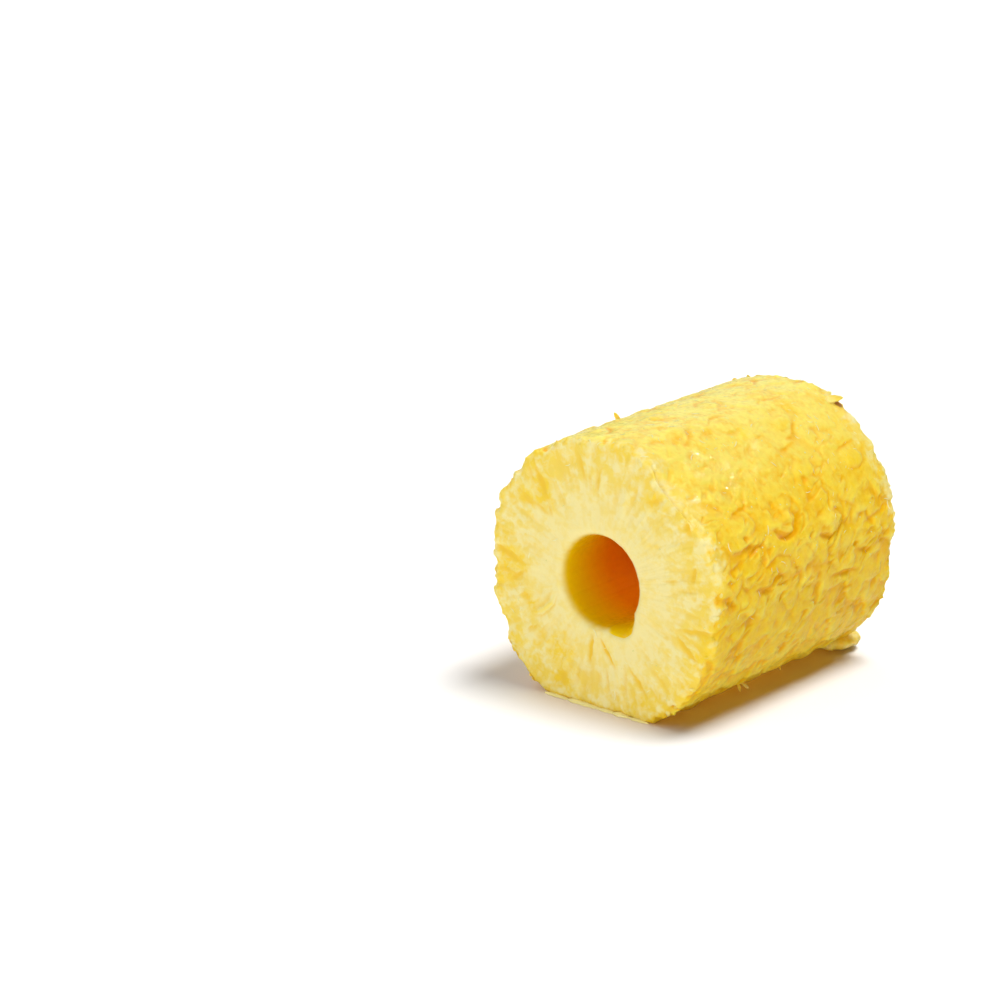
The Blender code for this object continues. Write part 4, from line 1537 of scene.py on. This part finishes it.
@dataclass
class TornLobe:
    """A scrap of flesh that is torn loose and still hangs on by its root.

    Lengths are metres. It grows along `towards`, is widest a third of the way out, and
    curls to the side that `face` points to.
    """

    name: str
    root: Vector
    towards: Vector
    face: Vector
    length: float
    width: float
    thickness: float
    curl: float = 0.0
    raggedness: float = 0.25
    seed: int = 0
    taper: float = 0.35
    rings: int = 26
    segments: int = 32

    def build(self, finish: bpy.types.Material) -> bpy.types.Object:
        """Grows the lobe and sets it on its root."""
        settings = {
            "Length": self.length,
            "Width": self.width,
            "Thickness": self.thickness,
            "Curl": self.curl,
            "Raggedness": self.raggedness,
            "Seed": self.seed,
            "Finish": finish,
        }
        lobe = grown(self.name, self.tree(), settings)
        forward = self.towards.normalized()
        across = forward.cross(self.face).normalized()
        turn = Matrix((across, across.cross(-forward), forward)).transposed().to_4x4()
        lobe.data.transform(Matrix.Translation(self.root) @ turn)
        return lobe

    def tree(self) -> Graph:
        """The node tree of one lobe, which stands on its root along Z."""
        graph = Graph.group("torn_lobe", "GeometryNodeTree")
        length, width, thickness, curl, raggedness = graph.takes_each(
            "Float", "Length", "Width", "Thickness", "Curl", "Raggedness"
        )
        seed, finish = graph.takes("Seed", "Int"), graph.takes("Finish", "Material")
        ball = graph.ball(self.segments, self.rings)
        x, y, z = graph.split(graph.here())
        share = z * 0.5 + 0.5
        belly = 1.0 - share * share * self.taper
        wave = graph.noise(graph.join(seed, 0.0, share * 3.0), 2.3) - 0.5
        notches = graph.noise(graph.join(x * 1.5 + seed, y * 0.3, z * 2.5), 1.6) - 0.5
        ragged = notches * raggedness * 2.4 + 1.0
        bent = share * share * curl
        target = graph.join(
            (x * belly * ragged + wave * raggedness * 2.0 * share) * width * 0.5,
            y * belly * thickness * 0.5 + bent * length,
            (share + notches * raggedness * 0.4 * share) * length,
        )
        edge = (1.0 - share) * 0.003 - 0.003
        flow = graph.moved(ball, target)
        return graph.ends(flow, finish, inland=edge, relief=notches * 0.001)


@dataclass
class Scraps:
    """The scraps that show singly: thin wisps, a flap and a tongue.

    A wisp is its name, the degrees round the axis and the metres along Y where it stands,
    its height and width, and how far it leans upwards and backwards.
    """

    surface: Surface
    middle_y: float
    wisps: tuple = (
        ("wisp_top", 113.7, -0.0163, 0.0030, 0.0022, -0.2, -0.3),
        ("wisp_low_a", -56.0, -0.0081, 0.0040, 0.0020, 0.2, 0.7),
        ("wisp_low_b", -56.0, -0.0092, 0.0030, 0.0018, 0.4, -0.5),
        ("wisp_low_c", -54.0, 0.0120, 0.0020, 0.0014, 0.0, 0.1),
    )
    rooted: float = 0.0009
    flap_rooted: float = 0.0008
    flap_place: tuple[float, float] = (64.0, 0.0440)
    tongue_tip: tuple[float, float, float] = (0.0318, 0.0560, 0.0037)
    tongue_root: tuple[float, float, float] = (0.0170, 0.0420, 0.0037)

    def lobes(self) -> list[TornLobe]:
        """Every scrap with its place and size."""
        return [self.wisp(*wisp) for wisp in self.wisps] + [self.flap(), self.tongue()]

    def wisp(
        self, name: str, degrees: float, along: float, height: float, width: float,
        lean: float, sweep: float,
    ) -> TornLobe:
        """A thin wisp, from one row of the list above."""
        root, outwards = self.surface.on_side(degrees, along)
        upwards = Vector((-outwards.z, 0.0, outwards.x))
        return TornLobe(
            name,
            root=root - outwards * self.rooted,
            towards=outwards + upwards * lean + Vector((0.0, sweep, 0.0)),
            face=Vector((0.0, 1.0, 0.0)) if abs(sweep) < 0.4 else upwards,
            length=height + self.rooted,
            width=width,
            thickness=self.rooted,
            curl=0.15,
        )

    def flap(self) -> TornLobe:
        """The flap that stands out at the top of the back rim."""
        root, outwards = self.surface.on_side(*self.flap_place)
        return TornLobe(
            "flap",
            root=root - outwards * self.flap_rooted,
            towards=outwards * 0.55 + Vector((0.42, 0.85, 0.0)),
            face=outwards,
            length=0.0068, width=0.0040, thickness=0.0015,
            curl=0.30, raggedness=0.36, seed=5,
        )

    def tongue(self) -> TornLobe:
        """The tongue that is pressed out on the ground behind the block."""
        tip = Vector((self.tongue_tip[0], self.middle_y + self.tongue_tip[1], self.tongue_tip[2]))
        x, along, z = self.tongue_root
        root = Vector((x, self.middle_y + along, z))
        return TornLobe(
            "tongue",
            root=root,
            towards=tip - root,
            face=Vector((0.0, 0.0, 1.0)),
            length=(tip - root).length, width=0.0190, thickness=0.0072,
            curl=0.0, raggedness=0.22, seed=9, taper=0.05,
        )

    def build(self, finish: bpy.types.Material) -> list[bpy.types.Object]:
        """Grows every scrap."""
        return [lobe.build(finish) for lobe in self.lobes()]


class Torn(Enum):
    """The kinds of thing that are strewn over the block."""

    FRINGE = "fringe"
    THREADS = "threads"
    BEADS = "beads"


@dataclass
class Strewn:
    """Many small things set on the block's faces: rim fringe, loose threads or juice beads.

    Args:
        kind: What is strewn.
        density: Things on a square metre.
        spacing: The least distance between two, in metres.
        size: Smallest and largest scale.
        seed: The seed of every random choice.
    """

    kind: Torn
    density: float
    spacing: float
    size: tuple[float, float]
    seed: int
    clear_of_bore: float = 0.0001
    clear_of_ground: float = 0.0012
    fringe_reach: float = 0.0018
    patch_size: float = 0.0140
    few_are_large: float = 2.2
    shown_inland: float = -0.002
    shown_as_fibre: float = 0.004

    def build(self, block: bpy.types.Object, finish: bpy.types.Material) -> bpy.types.Object:
        """Strews the things over the block."""
        settings = {"Block": block, "Density": self.density, "Seed": self.seed, "Finish": finish}
        return grown(self.kind.value, self.tree(), settings)

    def thing(self, graph: Graph) -> Field:
        """One thing at unit size, which lies along X and stands along Z."""
        if self.kind is Torn.BEADS:
            inputs = {"Radius": 1.0, "Subdivisions": 2}
            ball = graph.make("GeometryNodeMeshIcoSphere", inputs)
            inputs = {"Geometry": ball, "Scale": (1.0, 0.8, 0.55)}
            return graph.make("GeometryNodeTransform", inputs)
        ball = graph.ball(8, 7)
        x, y, z = graph.split(graph.here())
        if self.kind is Torn.THREADS:
            bow = x * x
            shape = graph.join(x, y * 0.10 + bow * 0.25, z * 0.08 + bow * 0.08 + 0.08)
        else:
            shape = graph.join(x * 0.9, y * 0.55, z * 0.20 + x * 0.22)
        return graph.moved(ball, shape)

    def wanted(self, graph: Graph) -> Field:
        """How thickly each place of the block is strewn, from 0 to 1."""
        inland, depth, place = graph.carried("inland"), graph.carried("bore_depth"), graph.here()
        _, _, height = graph.split(place)
        outside = depth.math("LESS_THAN", self.clear_of_bore)
        outside = outside * height.math("GREATER_THAN", self.clear_of_ground)
        if self.kind is Torn.FRINGE:
            return outside * inland.hump(self.fringe_reach)
        patchy = graph.uneven(place, self.patch_size, 2.0)
        _, _, facing_up = graph.split(graph.make("GeometryNodeInputNormal"))
        return outside * facing_up.ramp(-0.20, 0.60) * (patchy * 3.5 + 0.5).clipped()

    def tree(self) -> Graph:
        """The node tree that strews the things."""
        graph = Graph.group(f"strewn_{self.kind.value}", "GeometryNodeTree")
        block, density = graph.takes("Block", "Object"), graph.takes("Density", "Float")
        seed, finish = graph.takes("Seed", "Int"), graph.takes("Finish", "Material")
        inputs = {
            "Mesh": graph.make("GeometryNodeObjectInfo", {"Object": block}, "Geometry"),
            "Distance Min": self.spacing,
            "Density Max": density,
            "Density Factor": self.wanted(graph),
            "Seed": seed,
        }
        scatter = graph.add(
            "GeometryNodeDistributePointsOnFaces", inputs, distribute_method="POISSON"
        )
        turn = graph.join(0.0, 0.0, graph.chance(seed) * FULL_TURN)
        inputs = {"Rotation": Field(scatter.outputs["Rotation"]), "Rotate By": turn}
        rotation = graph.make("FunctionNodeRotateRotation", inputs, rotation_space="LOCAL")
        low, high = self.size
        scale = graph.chance(seed + 1.0) ** self.few_are_large * (high - low) + low
        inputs = {
            "Points": Field(scatter.outputs["Points"]),
            "Instance": self.thing(graph),
            "Rotation": rotation,
            "Scale": graph.join(scale, scale, scale),
        }
        flow = graph.make("GeometryNodeInstanceOnPoints", inputs)
        relief = self.shown_as_fibre if self.kind is Torn.THREADS else 0.0
        return graph.ends(flow, finish, inland=self.shown_inland, relief=relief)


@dataclass(frozen=True)
class JuiceFinish:
    """Faintly yellow pineapple juice in drops too small to look through."""

    grain: PulpGrain
    tint: tuple = srgb(255, 242, 158)
    roughness: float = 0.08
    refraction: float = 1.45
    ripple_size: float = 0.0012
    ripple_height: float = 0.00006
    coat_roughness: float = 0.03

    def build(self) -> bpy.types.Material:
        """Makes the material."""
        material, graph = new_finish("juice")
        place = graph.make("ShaderNodeTexCoord", output="Object")
        ripple = self.grain.at(graph, place, self.ripple_size)
        inputs = {"Height": ripple * self.ripple_height, "Distance": 1.0}
        graph.shade({
            "Normal": graph.make("ShaderNodeBump", inputs),
            "Roughness": (ripple * 0.06 + self.roughness).clipped(),
            "Base Color": self.tint,
            "IOR": self.refraction,
            "Coat Weight": 1.0,
            "Coat Roughness": self.coat_roughness,
        })
        return material


@dataclass
class JuiceLine:
    """Juice that has run down and stands along the bottom edge of the front end.

    Runs are start and end along X from the hole's axis, the width on the ground and the
    height against the flesh.
    """

    axis: Vector
    front_y: float
    runs: tuple = (
        (-0.0228, -0.0118, 0.0013, 0.0010),
        (-0.0132, 0.0004, 0.0018, 0.0013),
        (-0.0014, 0.0074, 0.0014, 0.0010),
        (0.0058, 0.0132, 0.0017, 0.0012),
        (0.0120, 0.0212, 0.0012, 0.0008),
    )
    sunk: float = 0.0006
    wander_size: float = 0.0022
    off_ground: float = 0.00005

    def build(self, finish: bpy.types.Material) -> bpy.types.Object:
        """Makes one mesh of every run."""
        settings = {"Front": self.front_y, "Axis X": self.axis.x, "Seed": SEED, "Finish": finish}
        return grown("juice_line", self.tree(), settings)

    def tree(self) -> Graph:
        """The node tree, which flattens a ball along each run."""
        graph = Graph.group("juice_line", "GeometryNodeTree")
        front, axis_x = graph.takes_each("Float", "Front", "Axis X")
        seed, finish = graph.takes("Seed", "Int"), graph.takes("Finish", "Material")
        gather = graph.add("GeometryNodeJoinGeometry")
        for start, end, width, rise in self.runs:
            ball = graph.ball(40, 14)
            x, y, z = graph.split(graph.here())
            middle, half = (start + end) / 2, (end - start) / 2
            place = graph.join(x * half / self.wander_size, seed, middle * 900)
            wander = graph.noise(place, 1.0) + 0.4
            target = graph.join(
                axis_x + middle + x * half,
                front + self.sunk + y * width * wander,
                z.math("MAXIMUM", 0.0) * rise * wander + self.off_ground,
            )
            graph.tree.links.new(graph.moved(ball, target).socket, gather.inputs[0])
        return graph.ends(Field(gather.outputs[0]), finish)


@dataclass
class Studio:
    """A plain pale floor, soft light and the camera.

    Angles of the camera are radians. A light is its name, its energy, how wide it looks in
    degrees and where it stands. The fills light the flesh alone and the floor's suns light
    the floor alone.
    """

    axis: Vector
    camera_distance: float = 0.9
    camera_azimuth: float = math.radians(36.2)
    camera_elevation: float = math.radians(17.9)
    camera_yaw: float = math.radians(4.34)
    camera_pitch: float = math.radians(-0.95)
    focal_length: float = 95.6
    sensor_width: float = 36.0
    floor_half: float = 4.0
    surround: float = 0.05
    floor_bounce: float = 0.49
    floor_shown: float = 0.67
    floor_suns: tuple = (
        ("floor_above", 2.62, 26, (0.245, 0.215, 1.0)),
        ("floor_front", 1.45, 80, (-0.8, -0.6, 0.8)),
    )
    flesh_light: float = 0.020
    flesh_light_size: tuple[float, float] = (0.046, 0.098)
    flesh_light_height: float = 0.010
    flesh_light_colour: tuple[float, float, float] = (1.0, 0.40, 0.01)
    suns: tuple = (
        ("overhead", 1.76, 24, (0.20, 0.12, 1.0)),
        ("left_light", 1.00, 60, (-1.0, 0.20, 0.70)),
        ("glint", 0.30, 4, (0.26, 0.60, 0.72)),
    )
    fills: tuple = (
        ("front_fill", 1.60, 44, (0.20, -1.0, 0.36)),
        ("side_fill", 0.56, 44, (1.0, -0.10, 0.12)),
        ("back_glow", 0.60, 60, (-0.20, 1.0, 0.35)),
    )

    def build(self) -> None:
        """Sets up floor, light, camera and the way colours are shown."""
        self.floor()
        self.lights()
        self.camera()
        view = bpy.context.scene.view_settings
        view.view_transform = "Standard"
        view.look = "None"

    def towards_camera(self, azimuth: float, elevation: float) -> Vector:
        """The unit vector from the block to a camera at those angles."""
        level = math.cos(elevation)
        return Vector((math.sin(azimuth) * level, -math.cos(azimuth) * level, math.sin(elevation)))

    def floor(self) -> None:
        """Lays the pale floor."""
        mesh = bpy.data.meshes.new("studio_floor")
        s = self.floor_half
        mesh.from_pydata([(-s, -s, 0), (s, -s, 0), (s, s, 0), (-s, s, 0)], [], [(0, 1, 2, 3)])
        floor = placed("studio_floor", mesh)
        material, graph = new_finish("studio_floor")
        seen = graph.make("ShaderNodeLightPath", output="Is Camera Ray")
        brightness = self.floor_bounce + seen * (self.floor_shown - self.floor_bounce)
        graph.shade({
            "Base Color": graph.join(brightness, brightness, brightness),
            "Roughness": 0.9,
            "Specular IOR Level": 0.0,
        })
        mesh.materials.append(material)
        floor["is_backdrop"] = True

    def lights(self) -> None:
        """Sets up the faint white surround and the suns that light everything."""
        world = bpy.data.worlds.new("studio")
        world.use_nodes = True
        background = world.node_tree.nodes["Background"]
        background.inputs["Color"].default_value = (1, 1, 1, 1)
        background.inputs["Strength"].default_value = self.surround
        bpy.context.scene.world = world
        for sun in self.suns:
            self.lamp(*sun)

    def lamp(self, name: str, energy: float, spread: float, position: tuple) -> bpy.types.Object:
        """Puts a far light at a position, turned to the block.

        Args:
            name: The light's name.
            energy: Watts on a square metre that faces it.
            spread: How wide it looks from the block, in degrees.
            position: Where it stands, of which only the direction counts.

        Returns:
            The light's object.
        """
        sun = bpy.data.lights.new(name, "SUN")
        sun.energy = energy
        sun.angle = math.radians(spread)
        lamp = placed(name, sun)
        lamp.location = position
        lamp.rotation_mode = "QUATERNION"
        lamp.rotation_quaternion = (Vector(position) - self.axis).to_track_quat("Z", "Y")
        return lamp

    def fill_in(self) -> None:
        """Adds the fills, which light the flesh and spare the ground, and the ground's suns."""
        pieces = bpy.data.collections.new("lit_pieces")
        for item in bpy.context.scene.objects:
            if item.type == "MESH" and item.name != "studio_floor":
                pieces.objects.link(item)
        for fill in self.fills:
            self.lamp(*fill).light_linking.receiver_collection = pieces
        ground = bpy.data.collections.new("lit_floor")
        ground.objects.link(bpy.data.objects["studio_floor"])
        for sun in self.floor_suns:
            self.lamp(*sun).light_linking.receiver_collection = ground
        self.through_flesh(ground)

    def through_flesh(self, ground: bpy.types.Collection) -> None:
        """Adds the golden light that the flesh lets through on to the ground beneath it."""
        light = bpy.data.lights.new("through_flesh", "AREA")
        light.shape = "RECTANGLE"
        light.size, light.size_y = self.flesh_light_size
        light.energy = self.flesh_light
        light.color = self.flesh_light_colour
        lamp = placed("through_flesh", light)
        lamp.location = (self.axis.x, self.axis.y, self.flesh_light_height)
        lamp.visible_camera = False
        lamp.light_linking.receiver_collection = ground
        lamp.light_linking.blocker_collection = ground

    def camera(self) -> None:
        """Puts the camera where the photograph was taken from."""
        turn = self.camera_azimuth + self.camera_yaw
        back = self.towards_camera(turn, self.camera_elevation + self.camera_pitch)
        right = Vector((math.cos(turn), math.sin(turn), 0.0))
        matrix = Matrix((right, back.cross(right), back)).transposed().to_4x4()
        spot = self.towards_camera(self.camera_azimuth, self.camera_elevation)
        matrix.translation = self.axis + spot * self.camera_distance
        lens = bpy.data.cameras.new("camera")
        lens.sensor_width = self.sensor_width
        lens.lens = self.focal_length
        camera = placed("camera", lens)
        camera.matrix_world = matrix
        bpy.context.scene.camera = camera


def hole_axis(low: Vector) -> Vector:
    """The middle of the hole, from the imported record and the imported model's box."""
    (left, _, bottom), (right, _, top) = frame["record"]["physics"]["openings"][0]["box_m"]
    middle_y = low.y + FRONT_STANDS + CoredBlock.length / 2
    return Vector(((left + right) / 2, middle_y, (bottom + top) / 2))


def main() -> None:
    """Builds every piece in order."""
    packed_low, packed_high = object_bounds()
    axis = hole_axis(packed_low)
    studio = Studio(axis)
    studio.build()
    grain = PulpGrain()
    tones = FleshTones(axis, grain).build()
    finish = FleshFinish(tones).build()
    sizes = CoredBlock(axis)
    marks = Marks(sizes.length / 2, sizes.turned_radius)
    block = sizes.build(marks, finish)
    torn = FleshFinish(tones, SCRAP_FINISH, 0.0008).build()
    Scraps(Surface(block, axis), axis.y).build(torn)
    Strewn(Torn.FRINGE, 90000.0, 0.0016, (0.0007, 0.0020), SEED + 5).build(block, torn)
    Strewn(Torn.THREADS, 42000.0, 0.0024, (0.0006, 0.0018), SEED + 6).build(block, torn)
    juice = JuiceFinish(grain).build()
    Strewn(Torn.BEADS, 60000.0, 0.0013, (0.00012, 0.00038), SEED + 7).build(block, juice)
    JuiceLine(axis, axis.y - sizes.length / 2).build(juice)
    studio.fill_in()


if __name__ == "__main__":
    main()
